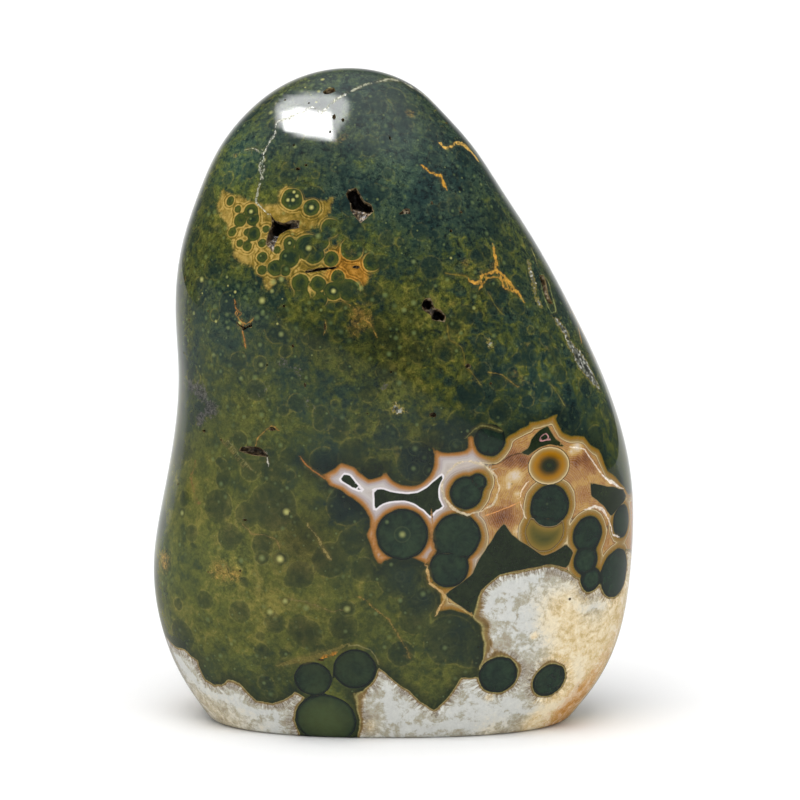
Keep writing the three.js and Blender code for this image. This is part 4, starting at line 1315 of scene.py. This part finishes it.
def greenTint(g, place, field, n):
    # teal and olive blotches, closely packed with dark hearted orbs in a thin olive web
    large, middle, fine, grit, wave = n["large"], n["middle"], n["fine"], n["grit"], n["wave"]
    blotch = g.noise(place, 0.6, 3, 0.55, 0.6) - 0.5
    heart = g.cells(n["drift"], 0.33, "F1", 0.85)
    between = g.cells(n["drift"], 0.33, "DISTANCE_TO_EDGE", 0.85) / 0.33
    chance = g.cellChance(n["drift"], 0.33, 0, 0.85)
    web = (between + fine * 1.2 + middle * 1.2).smooth(0.5, 0.0) * (wave + middle + 0.5).smooth(0.3, 0.75)
    shown = (field["web"] + large * 1.4 + middle * 0.8).smooth(0.0, 0.9)
    grain = 0.35 + (field["speckle"] + large).most(0)
    grains = (blotch * 0.7 + fine * 0.6 + grit * 0.4) * grain
    packed = (web * 0.45 - heart.smooth(0.6, 0.1) * 0.3 + (chance - 0.5) * 0.4) * shown
    clouds = field["olive"] + large * 1.1 + middle * 1.3 + wave * 0.7 + grains + packed
    moss = g.ramp(clouds, [
        (-0.5, 16, 30, 31), (-0.1, 24, 43, 41), (0.25, 38, 55, 44), (0.55, 56, 66, 32),
        (0.9, 82, 86, 33), (1.3, 118, 110, 48), (1.9, 168, 146, 78)])
    moss = g.vector("SCALE", moss, scale=(1 + (blotch * 1.1 + fine * 1.6 + grit * 0.9) * grain).most(0.3))
    strands = g.noise(n["drift"], 0.9, 4, 0.6, 1.4) - 0.5
    thread = abs(strands).smooth(0.022, 0.0).most(abs(blotch + fine * 0.6).smooth(0.02, 0.0) * 0.6)
    moss = g.colour(thread * (grain * 0.6).least(0.6) * (wave + middle + 0.5).smooth(0.35, 0.65), moss,
                    g.colour(field["olive"].smooth(0.2, 0.6), tint(96, 116, 92), tint(116, 112, 58)))

    # half hidden orbs with a thin pale edge, and small pale hearts
    faint = field["faint"] + fine * 0.5
    moss = g.colour(faint.smooth(0.12, -0.3) * 0.4 + faint.smooth(0.3, -2.2) * 0.25, moss,
                    g.colour(field["olive"].smooth(0.3, 0.8), tint(24, 41, 38), tint(32, 44, 26)))
    rings = abs((faint * 0.8 + middle).sine()).smooth(0.3, 0.0) * faint.smooth(0.2, -0.4)
    moss = g.colour(rings * 0.08, moss, tint(110, 116, 76))
    touching = field["faintGap"].smooth(0.35, 0.0) * faint.smooth(0.1, -0.3)
    rim = abs(faint - 0.1).smooth(0.26, 0.0).most(touching)
    rim = rim * (wave + middle * 0.7 + 0.5).smooth(0.35, 0.75) * (0.3 + field["olive"].smooth(0.0, 0.4) * 0.7)
    moss = g.colour(rim * 0.5, moss, tint(124, 116, 54))
    small = g.cells(place, 0.5, "F1", 1)
    pick = g.cellChance(place, 0.5, 1)
    hearts = pick.smooth(0.35, 0.9) * (field["dotty"] + large).smooth(0.1, 1.0)
    moss = g.colour(abs(small + fine * 0.1 - 0.34).smooth(0.14, 0.0) * hearts * 0.35, moss, tint(20, 36, 32))
    moss = g.colour((small + fine * 0.08).smooth(0.26, 0.02) * hearts * 0.6, moss, tint(116, 132, 80))

    # ochre clouds and soot
    rusty = (field["ochreTone"] + middle * 0.6 + fine * 0.9 - 0.05).smooth(0.3, 0.9)
    clotted = 0.35 + abs(blotch + fine * 0.5).smooth(0.09, 0.0) + (fine + grit).smooth(0.1, 0.3)
    rusty = rusty * clotted.least(1)
    moss = g.colour(rusty * 0.85, moss, g.colour((fine + grit + 0.4).smooth(0.1, 0.8), tint(116, 86, 28),
                                                  tint(190, 152, 76)))
    sooty = (field["sootTone"] + fine * 1.2 + middle - 0.1).smooth(0.3, 0.5)
    moss = g.colour(sooty * 0.75, moss, g.colour((grit + fine + 0.3).smooth(0.15, 0.5), tint(36, 38, 38),
                                                  tint(98, 94, 92)))
    return moss


def orbTint(g, field, n):
    # teal, with faint fibres out from the heart and a darker edge
    heart = g.attribute("heart", "Vector")
    reach = g.vector("LENGTH", heart, output=1)
    fibres = g.noise(g.vector("SCALE", g.vector("NORMALIZE", heart), scale=3.2), 2.2, 3, 0.6) - 0.5
    rings = ((reach + n["fine"] * 0.1) * 15).sine()
    tone = (0.42 + fibres * 0.35 + n["middle"] * 0.9 + n["wave"] * 0.7 + rings * 0.05 + n["fine"] * 0.4
            + (field["olive"] - 0.3) * 0.3)
    inner = g.colour(tone.smooth(0.05, 1.0), tint(13, 28, 26), tint(40, 62, 44))
    inner = g.colour((field["olive"] + n["middle"] * 0.3).smooth(0.5, 0.9) * 0.7, inner, tint(50, 56, 26))
    edge = g.colour((field["orb"] + n["fine"] * 0.5).smooth(0.1, 1.1), tint(17, 26, 23), inner)
    edge = g.colour(field["orbGap"].smooth(1.1, 0.2) * 0.7, edge, tint(14, 22, 18))
    edge = g.colour(field["orbGap"].smooth(0.3, 0.05) * 0.35, edge, tint(104, 88, 46))
    # paler or darker by the shade tones, the stone's own patches together with some painted reflection
    return g.vector("SCALE", edge, scale=1 + field["shadeTone"])


def ochreOver(g, under, field, n):
    # gold with close rings between small green beads
    bead = field["bead"] + n["fine"] * 0.3
    patch = (field["patch"] + n["fine"] * 2.2 + n["middle"] * 2.6 + 0.1).smooth(-0.6, 0.7)
    near = (field["patch"] + n["middle"] * 2.5 + n["large"] * 2).smooth(-2.6, -0.2)
    rings = ((bead + n["grit"] * 0.3 + n["middle"] * 0.7) * 10).sine() * bead.smooth(1.6, 0.5) * 0.34
    tone = rings + n["fine"] * 1.2 + n["wave"] * 1.5 + n["middle"] * 1.6 + n["large"] * 1.2 + 0.48
    gold = g.ramp(tone, [(0, 84, 74, 28), (0.45, 134, 111, 44), (1, 188, 158, 86)])
    brown = g.ramp(tone, [(0, 84, 60, 18), (0.5, 140, 98, 32), (1, 196, 142, 60)])
    gold = g.colour((field["ochreTone"] + n["middle"]).smooth(0.15, 0.5), gold, brown)
    outward = (bead + n["wave"] * 2.4 + n["fine"]).smooth(-1.5, -0.15)
    green = g.colour(outward, tint(28, 46, 34), tint(66, 76, 28))
    green = g.colour(abs(bead + 0.42).smooth(0.2, 0.0) * 0.35, green, tint(92, 98, 40))
    green = g.colour((n["fine"] * 1.5 + n["middle"] + 0.4).smooth(0.3, 0.9) * 0.35, green, tint(38, 58, 40))
    between = field["beadGap"].smooth(0.5, 0.0) * bead.smooth(0.2, -0.1)
    green = g.colour(field["beadGap"].smooth(1.2, 0.3) * 0.5, green, tint(26, 44, 32))
    green = g.colour(between * 0.6, green, tint(120, 110, 50))
    made = g.colour(bead.smooth(0.1, -0.12) * near * 0.8, under, green)
    made = g.colour(abs(bead - 0.12).smooth(0.22, 0.02) * near * 0.75, made, tint(170, 142, 70))
    made = g.colour(abs(bead - 0.5).smooth(0.14, 0.0) * near * 0.4, made, tint(150, 124, 54))
    return g.colour(patch * bead.smooth(0.02, 0.16), made, gold)


def agateTint(g, field, n):
    # bands in from the green: orange to lavender on the left, gold to flesh on the right
    depth = field["green"] + n["fine"] * 0.22
    left = g.ramp(depth, [
        (-0.2, 44, 42, 18), (0.06, 92, 70, 24), (0.35, 148, 96, 36), (0.7, 168, 118, 64),
        (1.0, 168, 142, 120), (1.4, 168, 156, 156), (2.2, 192, 186, 182), (3.4, 176, 166, 158)])
    depthRight = depth * (1 - n["large"] * 0.9)
    fineBands = (depth * 8 + n["middle"] * 9).sine() * 0.03
    threads = abs(n["wave"] + n["middle"] * 0.5).smooth(0.02, 0.0) * 0.3
    flush = (field["flushTone"] * (1.1 + n["fine"]) + n["wave"] * 0.8 + n["middle"] * 0.6 + n["fine"] * 0.3
             + fineBands + threads)
    flesh = g.ramp(flush, [
        (-1, 208, 194, 176), (-0.5, 200, 170, 116), (-0.18, 182, 142, 70), (0.1, 160, 114, 58),
        (0.4, 136, 86, 34), (0.75, 112, 64, 16), (1, 92, 50, 12)])
    right = g.ramp(depthRight, [
        (-0.2, 42, 44, 18), (0.08, 82, 76, 24), (0.4, 132, 98, 26), (0.75, 144, 106, 36),
        (1.05, 140, 112, 54), (1.45, 150, 126, 72), (1.64, 208, 188, 138),
        (1.78, 74, 52, 26), (1.92, 148, 102, 50), (2.2, 148, 102, 50)])
    right = g.colour((depthRight + n["fine"] * 0.1).smooth(1.76, 2.0), right, flesh)
    agate = g.colour(field["zone"], left, right)
    stripes = ((depth * 14 + n["middle"] * 10).sine() * 0.5 + 0.5) * depth.smooth(0.8, 1.4)
    agate = g.colour(stripes * 0.1 + n["grit"] * 0.3, agate, tint(226, 214, 212))

    # dark open quartz: in a white line on the left, edged with tan on the right
    dark = field["dark"] + n["grit"] * 0.12
    agate = g.colour(dark.smooth(-0.55, -0.36) * depth.smooth(0.2, 0.5), agate, tint(228, 222, 224))
    deep = field["deep"] + n["grit"] * 0.12
    agate = g.colour(deep.smooth(-0.3, -0.12) * 0.7, agate, tint(132, 112, 70))
    fill = dark.smooth(-0.12, 0.02).most(deep.smooth(-0.1, 0.02))
    smoky = g.ramp(n["middle"] + n["fine"] * 0.6 + 0.5, [
        (0.2, 18, 27, 15), (0.5, 28, 39, 22), (0.8, 46, 56, 32)])
    agate = g.colour(fill, agate, smoky)

    # the pale lobe
    pale = field["pale"] + n["fine"] * 0.25
    lobe = g.ramp(pale, [
        (-0.2, 200, 178, 130), (0.0, 76, 54, 26), (0.25, 132, 108, 44), (1.3, 98, 88, 34),
        (2.8, 62, 66, 28), (4.6, 40, 56, 40)])
    return agate, lobe, (pale - 0.02).smooth(-0.2, -0.1)


def quartzTint(g, place, field, n):
    # lacy white frost on grey, needles in from the edge, amber to the right, a brown band against the green
    root = g.vector("SUBTRACT", place, g.vector("SCALE", g.attribute("quartzWay", "Vector"), scale=0.82))
    needles = g.noise(root, 2.3, 4, 0.7) - 0.5
    lace = g.noise(place, 0.95, 6, 0.72, 0.6) - 0.5
    clots = g.noise(place, 0.3, 4, 0.6, 0.8) - 0.5
    lumps = 0.42 - g.cells(n["drift"], 1.5, "F1", 1)
    thorns = abs(needles).smooth(0.045, 0.0)
    shards = g.cellChance(root, 2.0, 1) - 0.5
    quartz = field["quartz"] + n["fine"] * 0.4 + lace * 0.4
    edge = quartz.smooth(3.2, 0.6)
    crystals = g.noise(place, 4.2, 2, 0.6) - 0.5
    frost = (field["frostTone"] * 0.7 + clots * 2.4 + lace * (1.5 - edge * 0.3) + needles * (0.3 + edge * 3.6)
             + crystals * 0.6 + lumps * 0.2 + shards * edge * 0.7 + (n["crystal"] - 0.5) * 0.1 - edge * 0.5
             + 0.2)
    amber = (field["warm"] + clots * 0.6 + lace * 0.6 + lumps * 0.15).smooth(0.05, 0.8)
    bare = g.colour(edge, tint(168, 157, 136), tint(128, 114, 94))
    deep = (field["warm"] + lace * 0.8 + clots * 0.5).smooth(1.1, 1.8)
    bare = g.colour(amber, bare, g.colour(deep, tint(212, 184, 128), tint(190, 140, 66)))
    milk = g.colour(amber, tint(176, 171, 152), g.colour(deep, tint(226, 204, 158), tint(208, 162, 86)))
    snow = g.colour(amber, tint(207, 208, 203), tint(236, 224, 196))
    body = g.colour(frost.smooth(-0.25, 0.1), bare, milk)
    body = g.colour(frost.smooth(0.15, 0.5) * (1 - amber * 0.2), body, snow)
    body = g.colour(thorns * edge * 0.7, body, snow)
    body = g.colour(abs(lace + clots * 0.3).smooth(0.025, 0.0) * (0.5 + amber * 0.3), body, snow)
    body = g.colour((crystals + lace * 0.6).smooth(0.12, 0.3) * 0.3, body, bare)
    rusty = (field["warm"] * (0.7 + lace * 1.6) - 0.9).smooth(0.0, 0.5)
    body = g.colour(rusty * 0.4, body, tint(186, 116, 34))
    sparkle = g.noise(place, 5.5, 2, 0.6) - 0.5
    glitter = (1 + sparkle * 0.3 + lace * 0.35 + clots * 0.25 + needles * edge
               + (n["crystal"] - 0.5) * 0.06 + shards * (edge * 0.16 + 0.02))
    body = g.vector("SCALE", body, scale=glitter)
    band = quartz / (0.55 + field["rimTone"] * 1.5)
    rim = g.ramp(band, [
        (-0.1, 40, 42, 20), (0.08, 70, 66, 28), (0.26, 158, 146, 92), (0.5, 126, 104, 62),
        (0.9, 124, 98, 56), (1.15, 172, 144, 96), (1.4, 138, 120, 92), (2.0, 146, 132, 114)])
    rim = g.vector("SCALE", rim, scale=1 + n["fine"] * 0.9 + n["grit"] * 0.8 + shards * 0.35)
    return g.colour((band + shards * 0.3).smooth(0.7, 1.4), rim, body)


def goldenOrbOver(g, under, place, n, inWindow):
    centre = tuple(float(value) for value in skin.seen(*goldenOrb["pixel"]))
    off = g.vector("MULTIPLY", g.vector("SUBTRACT", place, centre), goldenOrb["squeeze"])
    away = g.vector("LENGTH", off, output=1) + n["fine"] * 0.3 + n["middle"] * 0.3
    gold = g.ramp(away, [
        (0, 40, 50, 26), (0.7, 24, 34, 16), (1.3, 38, 40, 14), (1.8, 84, 62, 12),
        (2.4, 138, 94, 10), (2.9, 160, 110, 16), (3.4, 156, 118, 50), (3.8, 164, 138, 88),
        (4.08, 214, 194, 148), (4.25, 62, 42, 20), (4.5, 56, 40, 20), (5, 56, 40, 20)])
    return g.colour(away.smooth(4.4, 4.28) * inWindow, under, gold)


def veinsOver(g, under, place, field, n, inWindow):
    # healed cracks; the grainy ones break up into pale and dark crystals
    ink = g.node("ShaderNodeAttribute", {"attribute_name": "veinInk"})
    width = g.wire(ink.outputs["Alpha"])
    jitter = (g.noise(place, 0.75, 5, 0.72) - 0.5) * 1.2
    bare = abs(field["vein"] + jitter * (0.3 + field["veinGrain"] * 0.5))
    ends = field["veinNear"].smooth(0.75, 0.3)
    swelling = 0.5 + n["middle"] * 2.4 + n["fine"] * 2 + n["crystal"] * field["veinGrain"] * 0.8
    thread = (bare - width * swelling.most(0)).smooth(0.14, -0.06) * ends
    crumbs = n["fine"] * 2.4 + n["grit"] * 1.6 + n["middle"] * 1.6 + n["crystal"] * 0.5 + 0.25
    thread = thread * g.blend(field["veinGrain"], 0.9, crumbs.smooth(0.2, 0.6))
    halo = (bare - width).smooth(0.9, 0.0) * ends * (n["middle"] * 2 + 0.7).smooth(0.3, 1.0)
    made = g.colour(halo * 0.35 * (1 - inWindow), under, tint(104, 92, 44))
    mineral = g.vector("SCALE", ink.outputs["Color"], scale=1 + n["fine"] * 1.6 + n["grit"] * 1.2 + n["wave"])
    return g.colour(thread * 0.9, made, mineral), thread


def seamsOver(g, under, field, n):
    # a gold lip, then rough crystals, dark to pale grey; the palest are painted glints
    seam = field["seam"] + n["fine"] * 2.2 + n["grit"] * 1.6 + n["crystal"] * 0.5 - 0.4
    made = g.colour(abs(seam + 0.12).smooth(0.28, 0.05) * 0.8, under, tint(146, 132, 66))
    crystals = g.ramp(n["crystal"] + n["fine"] * 0.5, [
        (0, 18, 22, 20), (0.35, 54, 58, 48), (0.75, 108, 110, 98), (1, 196, 196, 186)])
    inside = seam.smooth(0.0, 0.14)
    return g.colour(inside, made, crystals), inside


def dotsOver(g, under, n, inGreen):
    # pale specks, soft, with a dark moat and a faint ring
    spot = g.vector("DISTANCE", n["place"], g.attribute("dot", "Vector"), output=1)
    radius, bright, _ = g.split(g.attribute("dotInk", "Vector"))
    reach = (spot + n["fine"] * 0.16) / radius
    made = g.colour(abs(reach - 1.9).smooth(0.6, 0.0) * bright * inGreen * 0.4, under, tint(22, 36, 30))
    made = g.colour(abs(reach - 2.9).smooth(0.4, 0.0) * radius.smooth(0.4, 0.6) * inGreen * 0.14, made,
                    tint(112, 122, 74))
    core = g.colour(bright.smooth(0.6, 1.0), tint(116, 134, 82), tint(200, 196, 116))
    return g.colour(reach.smooth(1.7, 0.0) * bright * inGreen * 0.9, made, core)


def hollowsOver(g, under, field, n):
    # a tan lip, then brown and grey druse, with painted shade that darkens it the deeper it lies in the
    # hollow
    pit = field["pit"]
    druse = g.ramp(n["crystal"] + n["grit"] * 0.4 - pit * 0.1, [
        (0, 42, 32, 20), (0.5, 108, 88, 60), (1, 182, 168, 140)])
    # painted shade: near black where the hollow is deepest
    druse = g.colour(pit.smooth(0.7, 2.2), druse, tint(24, 19, 13))
    lining = g.colour(pit.smooth(0.12, 0.5), tint(150, 130, 84), druse)
    return g.colour(pit.smooth(0.04, 0.14), under, lining)


polish = {
    "roughness": 0.045,
    "roughCrystals": 0.3,  # added to it in the seams, the hollows and the grainy cracks
    "roughHollows": 0.4,
    "roughCracks": 0.15,
    "ior": 1.54,
    "specular": 0.38,
    "bump": 0.4,
    "bumpHeight": 0.0001,  # m
    "smoothAngle": 38,  # degrees
}


def makeJasper():
    material = bpy.data.materials.new("polishedJasper")
    material.use_nodes = True
    g = Graph(material.node_tree)
    place = g.vector("SCALE", g.node("ShaderNodeTexCoord").outputs["Object"], scale=1 / mm)
    field = {name: g.attribute(name) for name in pointFields}
    n = surfaceNoises(g, place)
    n["place"] = place
    green = field["green"] + n["fine"] * 0.22
    inWindow, inGreen = green.smooth(-0.1, 0.1), green.smooth(-0.15, -0.5)

    body = greenTint(g, place, field, n)
    body = g.colour(green.smooth(-3.0, -0.05) * 0.65, body, tint(18, 29, 23))
    # paler or darker by noise and by the shade tones, which include painted reflection: paler where the
    # polish mirrors light, darker where it mirrors dark things
    glow = 1 + field["shadeTone"] + n["middle"] * 0.4 + n["grit"] * 0.35
    body = g.vector("SCALE", body, scale=glow.most(0.2))
    body = ochreOver(g, body, field, n)
    body = g.colour((field["orb"] + n["fine"] * 0.22).smooth(-0.06, 0.12), body, orbTint(g, field, n))
    agate, lobe, onLobe = agateTint(g, field, n)
    edge = (field["quartz"] + n["fine"] * 0.22).smooth(-0.06, 0.06)
    body = g.colour(inWindow, body, g.colour(edge, agate, quartzTint(g, place, field, n)))
    body = g.colour(onLobe, body, lobe)
    body = goldenOrbOver(g, body, place, n, inWindow)
    body, thread = veinsOver(g, body, place, field, n, inWindow)
    body, rough = seamsOver(g, body, field, n)
    body = dotsOver(g, body, n, inGreen)
    body = hollowsOver(g, body, field, n)

    shader = material.node_tree.nodes["Principled BSDF"]
    g.feed(shader.inputs["Base Color"], body)
    raw = (rough * polish["roughCrystals"]).most(field["pit"].smooth(0.03, 0.12) * polish["roughHollows"])
    raw = polish["roughness"] + raw + thread * field["veinGrain"] * polish["roughCracks"]
    g.feed(shader.inputs["Roughness"], raw)
    shader.inputs["IOR"].default_value = polish["ior"]
    shader.inputs["Specular IOR Level"].default_value = polish["specular"]
    relief = 1 - thread * field["veinGrain"] * (n["grit"] + 0.6) - rough * (n["grit"] * 2 + 0.8)
    relief = relief - (n["grit"] - 0.24).smooth(0.0, 0.06) * 0.4
    dents = g.node("ShaderNodeBump", {}, {
        "Strength": polish["bump"], "Distance": polish["bumpHeight"], "Height": relief})
    g.feed(shader.inputs["Normal"], dents.outputs[0])
    return material


stoneMesh.materials.clear()
stoneMesh.materials.append(makeJasper())
print("jasper coloured")


# ---- the stone itself, in place of the solid

jasperStone = bpy.data.objects.new("jasperStone", stoneMesh)
bpy.context.collection.objects.link(jasperStone)
stoneMesh.polygons.foreach_set("use_smooth", [True] * len(stoneMesh.polygons))
stoneMesh.set_sharp_from_angle(angle=math.radians(polish["smoothAngle"]))
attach(jasperStone, "root")
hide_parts("jasper_stone")
print("stone in place")


# ---- the studio: white paper, one softbox high in front, dark room before the stone

studio = {
    "skyStrength": 0.66,
    "sunStrength": 1.88,
    "sunTurn": (14, -3),  # degrees forward and to the left
    "sunWidth": 50,  # degrees
    "floorSize": 6,  # m
    "floorTone": 0.92,
    "floorRoughness": 0.9,
    "floorMirrored": 0.38,  # the paper as the polish mirrors it, and straight behind the stone
    "floorBehind": 0.7,
    "behindSlope": 0.55,
    "behindFade": 0.16,  # m
    "frontGloss": 0.1,  # what the polish mirrors from the room in front, and more of it from behind
    "backGloss": 0.65,
    "tableGloss": 0.36,  # the far edge of the table, a little above level
    "topGloss": 0.85,
    "leftGloss": 0.3,  # behind the stone, a little to the left
    "boxHeight": 900,  # mm, of the softbox; its parts are given as the pixels where the polish shows them
    "boxMirrored": [
        (283, 113), (300, 109), (318, 113), (330, 112), (333, 139), (307, 135), (285, 131)],
    "boxRadiance": 34,
    "rimMirrored": [(273, 112), (276, 104), (287, 96), (305, 92), (328, 91), (346, 95), (351, 103),
                    (350, 116), (340, 132), (334, 142), (300, 137), (276, 128)],
    "rimRadiance": 11,
    "veilMirrored": [(322, 84), (372, 84), (404, 100), (420, 130), (412, 165), (380, 160), (352, 150),
                     (330, 140)],
    "veilRadiance": 0.45,
    "boxArea": (258, 74, 430, 178),  # pixels
    "boxStep": 4,
}


def mirrorPlace(px, py, height):
    # where the sight line through a pixel goes on to, off the polish, at a height
    eye, way = sightLine(viewpoint, px, py)
    place = skin.tree.ray_cast(eye, way)[0]
    if place is None:
        return None
    near = [sightLine(viewpoint, px + dx, py + dy) for dx in (-3, 0, 3) for dy in (-3, 0, 3)]
    outs = [skin.tree.ray_cast(*line)[1] for line in near]
    out = sum((out for out in outs if out), Vector()).normalized()
    back = way - out * 2 * way.dot(out)
    return place + back * (height - place.z) / back.z


def makeSoftbox(lights):
    # a glowing sheet that only the polish mirrors: bright, with a dimmer rim and a faint veil
    left, top, right, bottom = lights["boxArea"]
    across = np.arange(left, right + 1, lights["boxStep"])
    down = np.arange(top, bottom + 1, lights["boxStep"])
    pixels = np.array([(px, py) for py in down for px in across], float)
    glow = 0
    for part, low, high in (("box", -3, 3), ("rim", -1, 6), ("veil", -8, 12)):
        inside = outlineDistance(pixels, np.array(lights[part + "Mirrored"], float))[0]
        glow = glow + step(inside, low, high) * lights[part + "Radiance"]
    mesh = bpy.data.meshes.new("softbox")
    index = np.arange(len(pixels)).reshape(len(down), len(across))
    quads = np.stack([index[:-1, :-1], index[:-1, 1:], index[1:, 1:], index[1:, :-1]], -1).reshape(-1, 4)
    places = [mirrorPlace(px, py, lights["boxHeight"]) for px, py in pixels]
    kept = [quad for quad in quads.tolist() if all(places[i] for i in quad)]
    mesh.from_pydata([(place or Vector()) * mm for place in places], [], kept)
    write(mesh, "glow", "FLOAT", "POINT", glow)
    softbox = bpy.data.objects.new("softbox", mesh)
    lit = bpy.data.materials.new("lit")
    lit.use_nodes = True
    g = Graph(lit.node_tree)
    shining = g.node("ShaderNodeEmission", {}, {"Strength": g.attribute("glow")})
    clear = g.node("ShaderNodeBsdfTransparent")
    both = g.node("ShaderNodeAddShader", {}, {0: shining.outputs[0], 1: clear.outputs[0]})
    g.feed(lit.node_tree.nodes["Material Output"].inputs["Surface"], both.outputs[0])
    mesh.materials.append(lit)
    softbox.visible_diffuse = False
    softbox.visible_camera = False
    softbox.visible_shadow = False
    bpy.context.collection.objects.link(softbox)


def makeWorld(lights):
    world = bpy.data.worlds.new("studio")
    bpy.context.scene.world = world
    world.use_nodes = True
    g = Graph(world.node_tree)
    way = g.node("ShaderNodeTexCoord").outputs["Generated"]
    aside, ahead, high = g.split(way)
    mirrored = lights["frontGloss"] + ahead.smooth(0.78, 1.0) * lights["backGloss"]
    mirrored = mirrored + high.smooth(0.5, 1.0) * lights["topGloss"]
    mirrored = mirrored + aside.smooth(0.05, -0.35) * ahead.smooth(0.62, 0.9) * lights["leftGloss"]
    table = (high - (0.065 - aside * 0.2).least(0.1)).smooth(0.014, -0.014) * ahead.smooth(0.3, 0.0)
    mirrored = g.blend(table, mirrored, lights["tableGloss"])
    path = g.node("ShaderNodeLightPath")
    glossy, camera = g.wire(path.outputs["Is Glossy Ray"]), g.wire(path.outputs["Is Camera Ray"])
    strength = g.blend(camera, g.blend(glossy, lights["skyStrength"], mirrored), 1.0)
    background = world.node_tree.nodes["Background"]
    background.inputs["Color"].default_value = (1, 1, 1, 1)
    g.feed(background.inputs["Strength"], strength)


def makeFloor(lights):
    bpy.ops.mesh.primitive_plane_add(size=lights["floorSize"])
    floor = bpy.context.object
    floor.name = "floor"
    paper = bpy.data.materials.new("paper")
    paper.use_nodes = True
    shader = paper.node_tree.nodes["Principled BSDF"]
    tone = Graph(paper.node_tree)
    seen = tone.node("ShaderNodeLightPath").outputs["Is Glossy Ray"]
    aside, ahead, _ = tone.split(tone.node("ShaderNodeTexCoord").outputs["Object"])
    behind = (ahead - abs(aside) * lights["behindSlope"]).smooth(0.0, lights["behindFade"])
    mirrored = tone.colour(behind, grey(lights["floorMirrored"]), grey(lights["floorBehind"]))
    tone.feed(shader.inputs["Base Color"], tone.colour(seen, grey(lights["floorTone"]), mirrored))
    shader.inputs["Roughness"].default_value = lights["floorRoughness"]
    floor.data.materials.append(paper)


def makeSun(lights):
    sun = bpy.data.lights.new("sun", "SUN")
    sun.energy = lights["sunStrength"]
    sun.angle = math.radians(lights["sunWidth"])
    lamp = bpy.data.objects.new("sun", sun)
    lamp.rotation_euler = [math.radians(turn) for turn in lights["sunTurn"]] + [0]
    lamp.visible_glossy = False
    bpy.context.collection.objects.link(lamp)


makeWorld(studio)
makeFloor(studio)
makeSun(studio)
makeSoftbox(studio)
bpy.context.scene.view_settings.view_transform = "Standard"
print("studio lit")
